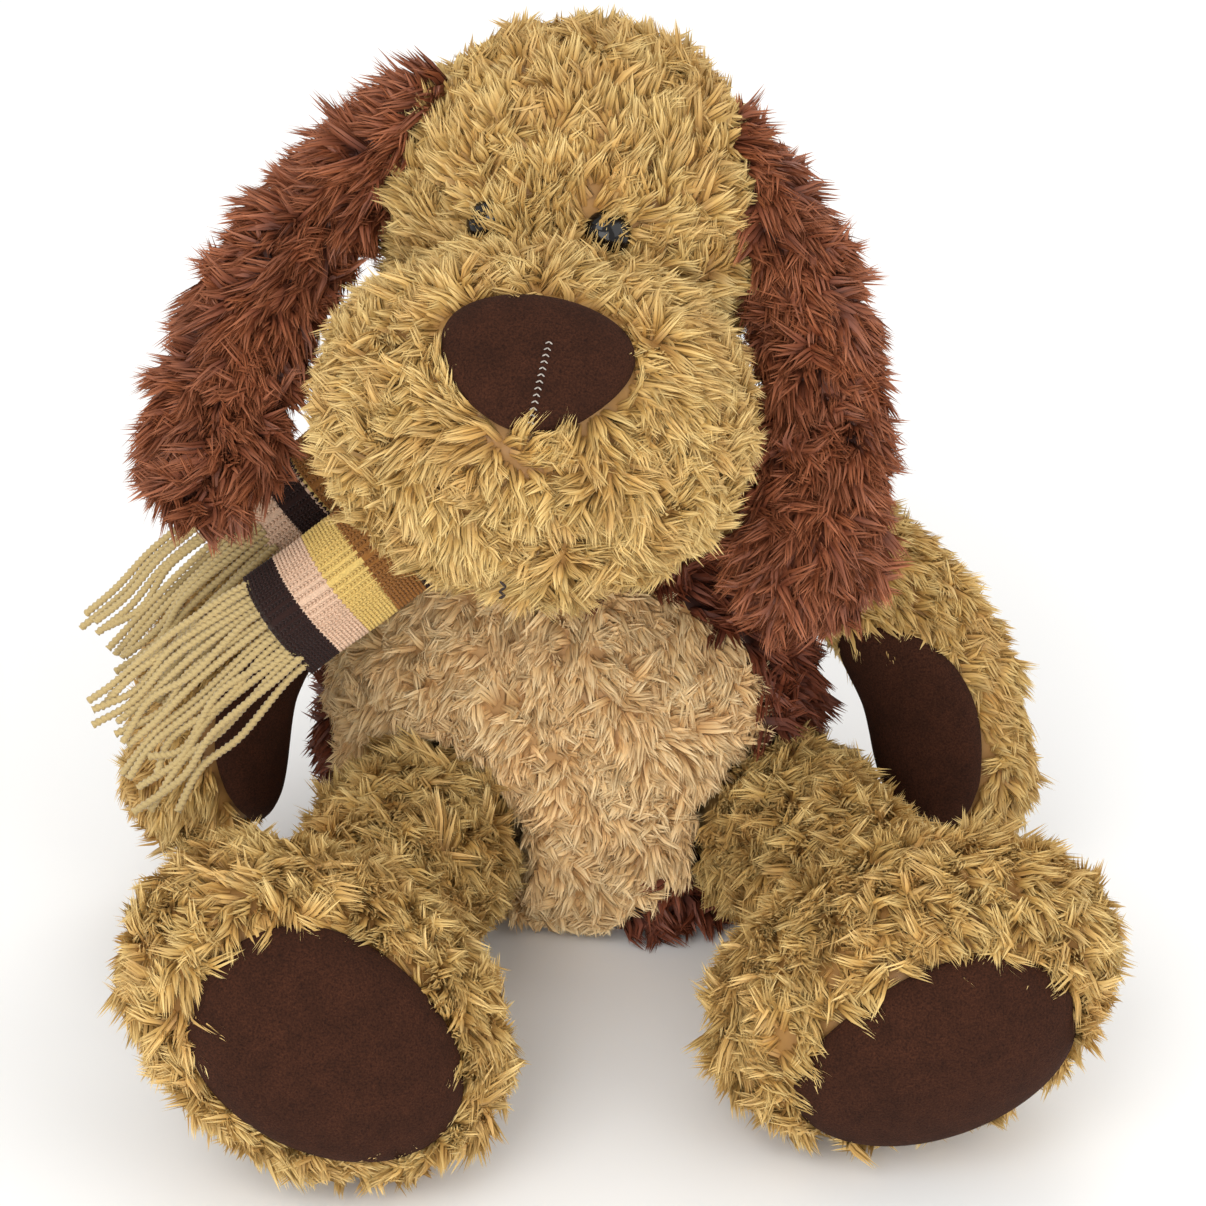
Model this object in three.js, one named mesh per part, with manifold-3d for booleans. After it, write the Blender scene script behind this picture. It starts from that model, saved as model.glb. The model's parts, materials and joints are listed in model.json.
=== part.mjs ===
// A plush dog that sits with its legs stretched forward and wears a knitted scarf.
// Millimetres, +Z up; the dog faces -Y and its left side, as one faces it, is -X.
// The origin is the middle of the whole toy's outline, on the surface it sits on.
import * as THREE from 'three';
import { mergeVertices } from 'three/addons/utils/BufferGeometryUtils.js';
import Module from 'manifold-3d';

const wasm = await Module();
wasm.setup();

// Fabrics and clearances
const GAP = 0.3; // between neighbouring pieces
const LOOSE = 4; // between an arm's or the tail's root and the hollow that it turns in
const HIP_LOOSE = 8; // round a leg's root, which also lifts
const PLUSH = 6; // plush cloth with its pile pressed down
const FELT = 2.4; // nose, paw pads and soles

// Torso: a pear, turned a little so that the belly faces -X of straight ahead
const TORSO_WIDTH = 152;
const TORSO_DEPTH = 112;
const TORSO_HEIGHT = 138;
const TORSO_AT = new THREE.Vector3(-10, 10, 0);
const TORSO_YAW = -15;
const BIB_WIDTH = 126;
const BIB_HEIGHT = 110;
const BIB_POINT = 0.34; // how much wider than an ellipse it is at its top
const BIB_SHIFT = -7; // to the torso's -X of its middle
const BIB_RISE = 3; // its lowest point
const PELLET_BAG = [38, 28, 12];

// Neck and head
const NECK_RISE = 2; // its middle above the torso's top
const NECK_AT = new THREE.Vector3(-13.5, 10, TORSO_HEIGHT + NECK_RISE);
const NECK_RADIUS = 24;
const NECK_LENGTH = 34;
const NECK_CLEARANCE = 2; // round the ball that the head turns and nods on
const HEAD_YAW = -7;
const HEAD_ROLL = 5.5;
const CRANIUM = [54, 53, 56];
const CRANIUM_AT = new THREE.Vector3(0, -4, 70);
const MUZZLE = [59, 49, 47];
const MUZZLE_AT = new THREE.Vector3(0, -70, 40);
const NOSE_WIDTH = 50;
const NOSE_HEIGHT = 38;
const NOSE_LIFT = 45; // degrees above the horizon that the nose faces
const MOUTH_LIFT = -38;
const EYE_RADIUS = 6.5;
const EYE_SPACING = 34;
const EYE_CLEARANCE = 11.5; // its lowest point above the cranium's middle, clear of the muzzle
const EYE_RISE = EYE_CLEARANCE + EYE_RADIUS;
const SHANK_RADIUS = 2;
const SHANK_LENGTH = 14;
const WASHER_RADIUS = 7;
const WASHER_THICKNESS = 2;
const WASHER_GAP = 2.6; // the flat washer stands this far off the curved skin

// Ears
const EAR_LENGTH = 132; // from the middle of its root to its tip
const EAR_ROOT_WIDTH = 28;
const EAR_TIP_WIDTH = 46;
const EAR_THICKNESS = 17;
const EAR_ROOT = new THREE.Vector3(41, -8, 98);
const EAR_SPLAY = { left: 8, right: 0 };

// Arms and legs
const SHOULDER_DROP = 30; // below the torso's top
const SHOULDER_HEIGHT = TORSO_HEIGHT - SHOULDER_DROP;
const SHOULDER_Y = 5;
const SHOULDER_RADIUS = 20;
const SHOULDER_SEAT = 34; // from the torso's widest point in to an arm's inner side
const SHOULDER_SPACING = TORSO_WIDTH - 2 * (SHOULDER_SEAT - SHOULDER_RADIUS);
const PAW_RADIUS = 23;
const PAD_LENGTH = 66;
const PAD_WIDTH = 40;
const PAD_FACING = { left: [0.85, -0.5, 0.15], right: [-0.5, -0.82, 0.2] };
const HIP_RADIUS = 28;
const HIP_LIFT = 4;
const HIP_INSET = { left: 36, right: 14 }; // from the torso's widest point
const HIP_BEHIND = { left: 20, right: 21 }; // the belly's front
const ARM_REACH = { // shoulder to the middle of the paw, which is beside the hip
  left: [HIP_RADIUS + PAW_RADIUS - 3, -15, -68],
  right: [HIP_RADIUS + PAW_RADIUS + 3, -15, -68],
};
const FOOT = [40, 56, 38]; // across, heel to toe, sole to ankle
const SOLE_LENGTH = 80;
const SOLE_WIDTH = 58;

// Tail
const TAIL_LENGTH = 46;
const TAIL_RADIUS = 13;

// Scarf
const SCARF_WIDTH = 33;
const SCARF_THICKNESS = 5;
const SCARF_SLACK = 18; // from the neck to the band's middle
const SCARF_RADIUS = NECK_RADIUS + SCARF_SLACK;
const SCARF_ROLL = [6, 9.5]; // half width and half height of the band round the neck
const SCARF_TILT = 16;
const SCARF_DROP = 4; // below the torso's top
const SCARF_HEIGHT = TORSO_HEIGHT - SCARF_DROP;
const FRINGE_LENGTH = 48;
const FRINGE_SPREAD = 1.35;

const ROUND = 14; // sides round a ball
const LONG = 8; // steps from pole to pole
const CAP = 3; // steps over a tube's end
const TUBE_ROUND = 10;
const TUBE_LONG = 3;

const vec = (x, y, z) => new THREE.Vector3(x, y, z);
const radians = THREE.MathUtils.degToRad;
const material = (color, roughness) => new THREE.MeshStandardMaterial({ color, roughness, metalness: 0 });

const tanPlush = material(0xc8a864, 0.95);
const brownPlush = material(0x6a3524, 0.95);
const earPlush = material(0x8a4a30, 0.95);
const creamPlush = material(0xe1c396, 0.95);
const darkFelt = material(0x3a2420, 0.9);
const fibre = material(0xf2f0ea, 1);
const pellets = material(0xd8d8d4, 0.6);
const glossBlack = material(0x0c0a0a, 0.12);
const washerPlastic = material(0xd9d9d9, 0.5);
const knit = material(0xc8a078, 0.9);
const yarn = material(0xd7c896, 0.9);
const thread = material(0x8f867c, 0.7);

/** A closed three.js geometry as a solid that can be joined and cut. */
function solidOf(geometry) {
  geometry.deleteAttribute('normal');
  geometry.deleteAttribute('uv');
  const merged = mergeVertices(geometry, 1e-3);
  const corners = merged.index.array;
  const faces = [];
  for (let i = 0; i < corners.length; i += 3) {
    const [a, b, c] = corners.slice(i, i + 3);
    if (a !== b && b !== c && c !== a) {
      faces.push(a, b, c);
    }
  }
  const vertProperties = new Float32Array(merged.attributes.position.array);
  return new wasm.Manifold(
    new wasm.Mesh({ numProp: 3, vertProperties, triVerts: new Uint32Array(faces) }),
  );
}

function named(name, solid, finish) {
  const { vertProperties, triVerts } = solid.getMesh();
  const geometry = new THREE.BufferGeometry();
  geometry.setAttribute('position', new THREE.BufferAttribute(vertProperties, 3));
  geometry.setIndex(new THREE.BufferAttribute(triVerts, 1));
  geometry.computeVertexNormals();
  const mesh = new THREE.Mesh(geometry, finish);
  mesh.name = name;
  return mesh;
}

/** A matrix that puts +Z along facing and +Y as near as it can to upward. */
function aimed(at, facing, upward) {
  const z = facing.clone().normalize();
  const x = upward.clone().cross(z).normalize();
  const y = z.clone().cross(x);
  return new THREE.Matrix4().makeBasis(x, y, z).setPosition(at);
}

const moved = (solid, matrix) => solid.transform(matrix.elements);

function ellipsoid(radii, at, inset = 0, round = ROUND, long = LONG) {
  const sphere = new THREE.SphereGeometry(1, round, long);
  sphere.rotateX(Math.PI / 2);
  sphere.scale(...radii.map((radius) => radius - inset));
  return solidOf(sphere.translate(at.x, at.y, at.z));
}

const ball = (radius, at) => ellipsoid([radius, radius, radius], at, 0, TUBE_ROUND, 2 * CAP);

function cylinder(radius, length, matrix) {
  const round = new THREE.CylinderGeometry(radius, radius, length, TUBE_ROUND);
  round.rotateX(Math.PI / 2);
  return moved(solidOf(round), matrix);
}

/** A capsule bent along a curve, width by depth at its root and tip, whose broad face looks along facing. */
function softTube({ points, widths, depths, facing }, inset = 0) {
  const path = new THREE.CatmullRomCurve3(points);
  const form = new THREE.CapsuleGeometry(1, 1, CAP, TUBE_ROUND, TUBE_LONG);
  form.rotateX(Math.PI / 2);
  const place = form.attributes.position;
  for (let i = 0; i < place.count; i += 1) {
    const height = place.getZ(i);
    const share = THREE.MathUtils.clamp(0.5 - height, 0, 1);
    const beyond = Math.max(0, Math.abs(height) - 0.5) * -Math.sign(height);
    const tangent = path.getTangentAt(share);
    const side = tangent.clone().cross(facing).normalize();
    const front = side.clone().cross(tangent);
    const width = THREE.MathUtils.lerp(...widths, share) / 2 - inset;
    const depth = THREE.MathUtils.lerp(...depths, share) / 2 - inset;
    const point = path.getPointAt(share).addScaledVector(tangent, beyond * width);
    point.addScaledVector(side, place.getX(i) * width).addScaledVector(front, place.getY(i) * depth);
    place.setXYZ(i, point.x, point.y, point.z);
  }
  return solidOf(form);
}

/** A prism with an egg outline, wider at its top, that starts at a point and runs the way that it faces. */
function eggPrism(width, height, point, depth, matrix) {
  const egg = new THREE.Shape();
  const steps = 16;
  for (let i = 0; i < steps; i += 1) {
    const turn = (i / steps) * 2 * Math.PI;
    const taper = 1 + point * Math.sin(turn);
    const x = (width / 2) * Math.cos(turn) * taper;
    const y = (height / 2) * Math.sin(turn);
    if (i === 0) {
      egg.moveTo(x, y);
    } else {
      egg.lineTo(x, y);
    }
  }
  return moved(solidOf(new THREE.ExtrudeGeometry(egg, { depth, bevelEnabled: false })), matrix);
}

/** A felt patch that lies on a form: the form's growth inside an outline. */
const patchOn = (formAt, outline) => formAt(-GAP - FELT).subtract(formAt(-GAP)).intersect(outline);

// ---- Torso ----
const onTorso = (x, y, z) => vec(x, y, 0).applyAxisAngle(vec(0, 0, 1), radians(TORSO_YAW)).add(TORSO_AT)
  .add(vec(0, 0, z));

function torsoForm(inset = 0) {
  const body = [[0.88, 0], [0.98, 0.12], [1, 0.34], [0.93, 0.54], [0.72, 0.74]]
    .map(([across, up]) => [across * (TORSO_WIDTH / 2), up]);
  const collar = [[1.44, 0.88], [0.99, 1]].map(([across, up]) => [across * NECK_RADIUS, up]);
  const outline = new THREE.SplineCurve([...body, ...collar].map(([across, up]) => new THREE.Vector2(
    across - inset,
    inset + up * (TORSO_HEIGHT - 2 * inset),
  )));
  const points = outline.getPoints(LONG);
  const profile = [new THREE.Vector2(0, points[0].y), ...points, new THREE.Vector2(0, points.at(-1).y)];
  const pear = new THREE.LatheGeometry(profile, ROUND + 4);
  pear.rotateX(Math.PI / 2);
  const flatter = (TORSO_DEPTH / 2 - inset) / (TORSO_WIDTH / 2 - inset);
  pear.scale(1, flatter, 1);
  pear.rotateZ(radians(TORSO_YAW));
  return solidOf(pear.translate(TORSO_AT.x, TORSO_AT.y, 0));
}

const sides = [['left', -1], ['right', 1]];

const shoulder = {};
const hip = {};
for (const [side, out] of sides) {
  shoulder[side] = vec(TORSO_AT.x + (out * SHOULDER_SPACING) / 2, SHOULDER_Y, SHOULDER_HEIGHT);
  const hipX = TORSO_AT.x + out * (TORSO_WIDTH / 2 - HIP_INSET[side]);
  hip[side] = vec(hipX, TORSO_AT.y - TORSO_DEPTH / 2 + HIP_BEHIND[side], HIP_RADIUS + HIP_LIFT);
}

const tailRoot = onTorso(0, TORSO_DEPTH / 2 - 5, 34);

/** Everything that turns in a hollow of the torso. */
function torsoHollows(extra) {
  return wasm.Manifold.union([
    ball(NECK_RADIUS + NECK_CLEARANCE + extra, NECK_AT),
    ball(SHOULDER_RADIUS + LOOSE + extra, shoulder.left),
    ball(SHOULDER_RADIUS + LOOSE + extra, shoulder.right),
    ball(HIP_RADIUS + HIP_LOOSE + extra, hip.left),
    ball(HIP_RADIUS + HIP_LOOSE + extra, hip.right),
    ball(TAIL_RADIUS + LOOSE + extra, tailRoot),
  ]);
}

const hollows = torsoHollows(0);
const bibMiddle = onTorso(BIB_SHIFT, -8, BIB_HEIGHT / 2 + BIB_RISE);
const bibFacing = vec(Math.sin(radians(TORSO_YAW)), -1, 0);
const bibAt = (grow) => eggPrism(
  BIB_WIDTH + 2 * grow,
  BIB_HEIGHT + 2 * grow,
  BIB_POINT,
  TORSO_DEPTH,
  aimed(bibMiddle, bibFacing, vec(0, 0, 1)),
);

const torsoShell = torsoForm().subtract(torsoForm(PLUSH)).subtract(hollows);
const bellyPanel = torsoShell.intersect(bibAt(0));
const backSkin = torsoShell.subtract(bibAt(GAP));
const pelletAt = onTorso(0, 14, PLUSH + GAP + PELLET_BAG[2]);
const pelletBag = ellipsoid(PELLET_BAG, pelletAt).subtract(hollows);
const torsoStuffing = torsoForm(PLUSH + GAP)
  .subtract(torsoHollows(GAP))
  .subtract(ellipsoid(PELLET_BAG, pelletAt, -GAP));

const toy = new THREE.Group();
toy.add(
  named('torso_back_skin', backSkin, brownPlush),
  named('belly_panel', bellyPanel, creamPlush),
  named('torso_stuffing', torsoStuffing, fibre),
  named('pellet_bag', pelletBag, pellets),
);

// ---- Neck: a short stuffed tube that the head turns and nods on ----
const neckSlice = solidOf(new THREE.BoxGeometry(90, 90, NECK_LENGTH).translate(...NECK_AT));
const neckForm = (inset) => ball(NECK_RADIUS - inset, NECK_AT).intersect(neckSlice);
toy.add(
  named('neck_skin', neckForm(0).subtract(ball(NECK_RADIUS - PLUSH, NECK_AT)), brownPlush),
  named('neck_stuffing', neckForm(PLUSH + GAP), fibre),
);

// ---- Scarf ----
function neckWrap() {
  const [halfWidth, halfHeight] = SCARF_ROLL;
  const section = [];
  const steps = 8;
  for (let i = 0; i <= steps; i += 1) {
    const turn = (i % steps) / steps * 2 * Math.PI;
    section.push(new THREE.Vector2(SCARF_RADIUS + halfWidth * Math.cos(turn), halfHeight * Math.sin(turn)));
  }
  const ring = new THREE.LatheGeometry(section, 24);
  ring.rotateX(Math.PI / 2);
  ring.rotateX(radians(SCARF_TILT));
  return solidOf(ring.translate(TORSO_AT.x, TORSO_AT.y, SCARF_HEIGHT));
}

/** One hanging end of the scarf: a flat band, then a fan of fringe that droops from its hem. */
function scarfTail(name, { root, along, droop, facing, length }) {
  const band = new THREE.BoxGeometry(SCARF_WIDTH, length, SCARF_THICKNESS);
  band.translate(0, -length / 2, 0);
  const hem = root.clone().addScaledVector(along.clone().normalize(), length + SCARF_THICKNESS / 2);
  const fan = new THREE.Shape();
  fan.moveTo(-SCARF_WIDTH / 2, 0);
  fan.lineTo((-SCARF_WIDTH / 2) * FRINGE_SPREAD, -FRINGE_LENGTH);
  fan.lineTo((SCARF_WIDTH / 2) * FRINGE_SPREAD, -FRINGE_LENGTH);
  fan.lineTo(SCARF_WIDTH / 2, 0);
  const fringe = new THREE.ExtrudeGeometry(fan, { depth: SCARF_THICKNESS, bevelEnabled: false });
  fringe.translate(0, 0, -SCARF_THICKNESS / 2);
  const bandSolid = moved(solidOf(band), aimed(root, facing, along.clone().negate()));
  const fringeSolid = moved(solidOf(fringe), aimed(hem, facing, droop.clone().negate()));
  return [
    named(`scarf_tail_${name}`, bandSolid, knit),
    named(`scarf_fringe_${name}`, fringeSolid, yarn),
  ];
}

const scarfAt = vec(TORSO_AT.x, TORSO_AT.y, SCARF_HEIGHT);
const knotAt = vec(-SCARF_RADIUS - 5, -41, -8).add(scarfAt);
toy.add(
  named('scarf_neck_wrap', neckWrap().subtract(ball(16, knotAt)).subtract(torsoForm(-GAP)), knit),
  named('scarf_knot', ellipsoid([11, 10, 13], knotAt), knit),
  ...scarfTail('front', {
    root: vec(-SCARF_RADIUS - 18, -52, -9).add(scarfAt),
    along: vec(-0.8, -0.3, -0.5),
    droop: vec(-0.7, -0.26, -0.66),
    facing: vec(-0.1, -0.75, 0.6),
    length: 26,
  }),
  ...scarfTail('rear', {
    root: vec(-SCARF_RADIUS - 11, -10, 12).add(scarfAt),
    along: vec(-0.8, -0.36, -0.48),
    droop: vec(-0.62, -0.2, -0.75),
    facing: vec(-0.2, -0.7, 0.7),
    length: 44,
  }),
);

// ---- Head ----
const head = new THREE.Group();
head.position.copy(NECK_AT);
head.rotation.set(0, radians(HEAD_ROLL), radians(HEAD_YAW), 'ZYX');
toy.add(head);

const craniumForm = (inset = 0) => ellipsoid(CRANIUM, CRANIUM_AT, inset);
const muzzleForm = (inset = 0) => ellipsoid(MUZZLE, MUZZLE_AT, inset);
const neckHollow = ball(NECK_RADIUS + NECK_CLEARANCE, vec(0, 0, 0));

function onMuzzle(lift) {
  const turn = radians(lift);
  const at = vec(0, -MUZZLE[1] * Math.cos(turn), MUZZLE[2] * Math.sin(turn)).add(MUZZLE_AT);
  const facing = vec(0, -Math.cos(turn) / MUZZLE[1], Math.sin(turn) / MUZZLE[2]).normalize();
  return { at, facing };
}

const eyeMatrix = {};
const eyeHoles = [];
const washerPockets = [];
for (const [side, out] of sides) {
  const x = (out * EYE_SPACING) / 2;
  const inward = 1 - (x / CRANIUM[0]) ** 2 - (EYE_RISE / CRANIUM[2]) ** 2;
  const at = vec(x, -CRANIUM[1] * Math.sqrt(inward), EYE_RISE);
  const facing = at.clone().divide(vec(...CRANIUM)).divide(vec(...CRANIUM)).normalize();
  eyeMatrix[side] = aimed(at.clone().add(CRANIUM_AT), facing, vec(0, 0, 1));
  eyeHoles.push(cylinder(SHANK_RADIUS + GAP, 2 * SHANK_LENGTH, eyeMatrix[side]));
  const pocket = new THREE.Matrix4().makeTranslation(0, 0, -PLUSH - SHANK_LENGTH / 2);
  washerPockets.push(cylinder(WASHER_RADIUS + GAP, SHANK_LENGTH, eyeMatrix[side].clone().multiply(pocket)));
}

const headSkin = craniumForm()
  .subtract(craniumForm(PLUSH))
  .subtract(muzzleForm(-GAP))
  .subtract(neckHollow)
  .subtract(wasm.Manifold.union(eyeHoles));
const muzzleSkin = muzzleForm()
  .subtract(muzzleForm(PLUSH))
  .subtract(craniumForm(PLUSH))
  .subtract(neckHollow);
const headStuffing = craniumForm(PLUSH + GAP)
  .subtract(neckHollow)
  .subtract(wasm.Manifold.union(washerPockets));
const muzzleStuffing = muzzleForm(PLUSH + GAP)
  .subtract(craniumForm(PLUSH))
  .subtract(neckHollow);

head.add(
  named('head_skin', headSkin, tanPlush),
  named('muzzle_skin', muzzleSkin, tanPlush),
  named('head_stuffing', headStuffing, fibre),
  named('muzzle_stuffing', muzzleStuffing, fibre),
);

for (const [side] of sides) {
  const below = new THREE.Matrix4().makeTranslation(0, 0, -EYE_RADIUS / 2);
  const dome = ellipsoid([EYE_RADIUS, EYE_RADIUS, EYE_RADIUS * 0.7], vec(0, 0, 0))
    .subtract(cylinder(EYE_RADIUS * 2, EYE_RADIUS, below));
  const shankMiddle = new THREE.Matrix4().makeTranslation(0, 0, 1 - SHANK_LENGTH / 2);
  const shank = cylinder(SHANK_RADIUS, SHANK_LENGTH, shankMiddle);
  const seated = eyeMatrix[side].clone().multiply(new THREE.Matrix4().makeTranslation(0, 0, GAP));
  const behindSkin = new THREE.Matrix4().makeTranslation(0, 0, -PLUSH - WASHER_GAP - WASHER_THICKNESS / 2);
  const washer = cylinder(WASHER_RADIUS, WASHER_THICKNESS, behindSkin)
    .subtract(cylinder(SHANK_RADIUS + GAP, SHANK_LENGTH, behindSkin));
  head.add(
    named(`eye_${side}`, moved(dome.add(shank), seated), glossBlack),
    named(`eye_washer_${side}`, moved(washer, eyeMatrix[side]), washerPlastic),
  );
}

const nose = onMuzzle(NOSE_LIFT);
const noseOutline = eggPrism(NOSE_WIDTH, NOSE_HEIGHT, 0.18, 40, aimed(
  nose.at.clone().addScaledVector(nose.facing, -20),
  nose.facing,
  vec(0, 0, 1),
));
head.add(named('nose_patch', patchOn(muzzleForm, noseOutline), darkFelt));

/** A line of thread laid on the muzzle, between two lifts above the horizon. */
function threadOnMuzzle(name, fromLift, toLift, height) {
  const points = [0, 0.33, 0.67, 1].map((share) => {
    const spot = onMuzzle(THREE.MathUtils.lerp(fromLift, toLift, share));
    return spot.at.addScaledVector(spot.facing, height);
  });
  const strand = new THREE.Shape().absarc(0, 0, 0.8, 0, 2 * Math.PI);
  const geometry = new THREE.ExtrudeGeometry(strand, {
    extrudePath: new THREE.CatmullRomCurve3(points), steps: 8, curveSegments: 4, bevelEnabled: false,
  });
  return named(name, solidOf(geometry), thread);
}

const onFelt = FELT + 2 * GAP + 1.2;
head.add(
  threadOnMuzzle('nose_seam', NOSE_LIFT + 3, NOSE_LIFT - 19, onFelt),
  threadOnMuzzle('mouth_stitch', MOUTH_LIFT + 5, MOUTH_LIFT - 5, GAP + 1.2),
);

// ---- Ears ----
for (const [side, out] of sides) {
  const root = EAR_ROOT.clone().multiply(vec(out, 1, 1));
  const hang = [0, 0.3, 0.65, 1].map((share) => {
    const fall = vec(out * 0.33, -0.42, -0.86).multiplyScalar(share * (EAR_LENGTH - EAR_TIP_WIDTH / 2));
    fall.add(vec(out * 12 * Math.sin(Math.PI * share), 6 * Math.sin(Math.PI * share), 0));
    return fall.applyAxisAngle(vec(0, 1, 0), radians(out * -EAR_SPLAY[side])).add(root);
  });
  const ear = {
    points: hang,
    widths: [EAR_ROOT_WIDTH, EAR_TIP_WIDTH],
    depths: [EAR_THICKNESS, EAR_THICKNESS],
    facing: vec(out * 0.45, -0.85, 0.25),
  };
  const flap = softTube(ear).subtract(craniumForm(-GAP)).subtract(muzzleForm(-GAP));
  const path = new THREE.CatmullRomCurve3(hang);
  const middle = path.getPointAt(0.5);
  const tangent = path.getTangentAt(0.5);
  const outward = tangent.clone().cross(ear.facing).cross(tangent).normalize();
  const halfSpace = new THREE.BoxGeometry(4 * EAR_LENGTH, 4 * EAR_LENGTH, EAR_LENGTH);
  halfSpace.translate(0, 0, EAR_LENGTH / 2);
  const half = solidOf(halfSpace);
  const front = flap.intersect(moved(half.translate([0, 0, GAP / 2]), aimed(middle, outward, vec(0, 0, 1))));
  const back = flap.intersect(
    moved(half.translate([0, 0, GAP / 2]), aimed(middle, outward.clone().negate(), vec(0, 0, 1))),
  );
  head.add(
    named(`ear_${side}_outer`, front, earPlush),
    named(`ear_${side}_lining`, back, earPlush),
  );
}

// ---- Arms ----
for (const [side, out] of sides) {
  const root = shoulder[side];
  const [x, y, z] = ARM_REACH[side];
  const arm = {
    points: [
      root,
      vec(x * 0.45 * out, y * 0.1, z * 0.12).add(root),
      vec(x * 0.85 * out, y * 0.5, z * 0.52).add(root),
      vec(x * out, y, z).add(root),
    ],
    widths: [2 * SHOULDER_RADIUS, 2 * PAW_RADIUS],
    depths: [2 * SHOULDER_RADIUS, 2 * PAW_RADIUS],
    facing: vec(-0.4 * out, -0.85, 0.25),
  };
  const armForm = (inset = 0) => softTube(arm, inset);
  const shoulderSeam = ball(SHOULDER_RADIUS * 0.6, root.clone().add(vec(-out * SHOULDER_RADIUS, 0, 0)));
  const inward = vec(...PAD_FACING[side]);
  const padAt = vec(x * 0.84 * out, y * 0.7, z * 0.74).add(root);
  const padOutline = eggPrism(PAD_WIDTH, PAD_LENGTH, -0.1, 60, aimed(padAt, inward, vec(x * -out, y, -z)));
  const stuffing = armForm(PLUSH + GAP);
  toy.add(
    named(`arm_${side}_skin`, armForm().subtract(armForm(PLUSH)).subtract(shoulderSeam), tanPlush),
    named(`arm_${side}_stuffing`, stuffing, fibre),
    named(`paw_pad_${side}`, patchOn(armForm, padOutline), darkFelt),
  );
}

// ---- Legs ----
const legs = {
  left: { toe: vec(-0.77, 0, 0.64), facing: vec(0.2, -0.95, 0.2), reach: [-25, -118] },
  right: { toe: vec(0.93, 0, 0.37), facing: vec(0.14, -0.98, -0.12), reach: [31, -102] },
};

for (const [side] of sides) {
  const { toe, facing, reach } = legs[side];
  const x = hip[side].x + reach[0];
  const y = hip[side].y + reach[1];
  const frame = aimed(vec(0, 0, 0), facing, toe);
  const rise = Math.hypot(
    frame.elements[2] * FOOT[0],
    frame.elements[6] * FOOT[1],
    frame.elements[10] * FOOT[2],
  );
  frame.setPosition(x, y, rise);
  const foot = vec(x, y, rise);
  const root = hip[side];
  const thigh = {
    points: [root, root.clone().lerp(foot, 0.4).add(vec(0, 0, 2)), root.clone().lerp(foot, 0.8)],
    widths: [2 * HIP_RADIUS, 2 * HIP_RADIUS + 2],
    depths: [2 * HIP_RADIUS, 2 * HIP_RADIUS + 2],
    facing: vec(0, 0, 1),
  };
  const footForm = (inset = 0) => moved(ellipsoid(FOOT, vec(0, 0, 0), inset), frame);
  const legForm = (inset = 0) => softTube(thigh, inset).add(footForm(inset));
  const hipSeam = ball(HIP_RADIUS * 0.6, root.clone().add(vec(0, HIP_RADIUS, 0)));
  const soleOutline = eggPrism(SOLE_WIDTH, SOLE_LENGTH, 0.12, 90, frame.clone());
  toy.add(
    named(`leg_${side}_skin`, legForm().subtract(legForm(PLUSH)).subtract(hipSeam), tanPlush),
    named(`leg_${side}_stuffing`, legForm(PLUSH + GAP), fibre),
    named(`sole_${side}`, patchOn(footForm, soleOutline), darkFelt),
  );
}

// ---- Tail ----
const tail = {
  points: [[0, 0, 0], [2, 0.3, 0.12], [4, 0.62, 0.42]].map(([x, back, up]) => (
    vec(x, back * TAIL_LENGTH, up * TAIL_LENGTH).add(tailRoot)
  )),
  widths: [2 * TAIL_RADIUS, 2 * TAIL_RADIUS - 4],
  depths: [2 * TAIL_RADIUS, 2 * TAIL_RADIUS - 4],
  facing: vec(0, 0, 1),
};
const tailForm = (inset = 0) => softTube(tail, inset);
const tailSeam = ball(TAIL_RADIUS * 0.6, tailRoot.clone().add(vec(0, -TAIL_RADIUS, 0)));
toy.add(
  named('tail_skin', tailForm().subtract(tailForm(PLUSH)).subtract(tailSeam), brownPlush),
  named('tail_stuffing', tailForm(PLUSH + GAP), fibre),
);

// The outline's middle comes to the origin, and its lowest point to Z = 0.
toy.updateMatrixWorld(true);
const outline = new THREE.Box3().setFromObject(toy, true);
const middle = outline.getCenter(vec(0, 0, 0));
toy.position.set(-middle.x, -middle.y, -outline.min.z);

export default toy;
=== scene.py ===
"""A plush dog: its pile, felt, knitting, yarn, thread and eyes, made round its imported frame."""
import json
import math

import bmesh
import bpy
import numpy as np
from mathutils import Matrix, Vector
from mathutils.bvhtree import BVHTree

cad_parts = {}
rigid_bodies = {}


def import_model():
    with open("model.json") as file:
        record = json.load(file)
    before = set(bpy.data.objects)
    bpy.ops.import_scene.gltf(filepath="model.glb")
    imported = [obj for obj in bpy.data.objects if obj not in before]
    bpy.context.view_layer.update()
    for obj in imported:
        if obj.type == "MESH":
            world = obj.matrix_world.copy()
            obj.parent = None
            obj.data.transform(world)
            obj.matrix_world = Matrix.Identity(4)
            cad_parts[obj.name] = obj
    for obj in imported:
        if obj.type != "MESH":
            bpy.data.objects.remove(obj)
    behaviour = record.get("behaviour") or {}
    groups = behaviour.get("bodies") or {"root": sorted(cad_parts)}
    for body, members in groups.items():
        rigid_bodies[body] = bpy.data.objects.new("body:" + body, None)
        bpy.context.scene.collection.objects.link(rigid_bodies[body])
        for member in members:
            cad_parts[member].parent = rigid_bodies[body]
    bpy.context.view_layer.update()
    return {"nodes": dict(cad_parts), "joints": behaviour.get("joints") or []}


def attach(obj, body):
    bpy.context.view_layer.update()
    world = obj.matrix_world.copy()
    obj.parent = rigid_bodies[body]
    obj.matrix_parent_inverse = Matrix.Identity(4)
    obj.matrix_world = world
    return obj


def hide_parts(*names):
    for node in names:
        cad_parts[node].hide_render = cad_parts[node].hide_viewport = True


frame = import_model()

MM = 0.001
UP = Vector((0, 0, 1))
SIDES = (("left", -1), ("right", 1))

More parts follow.
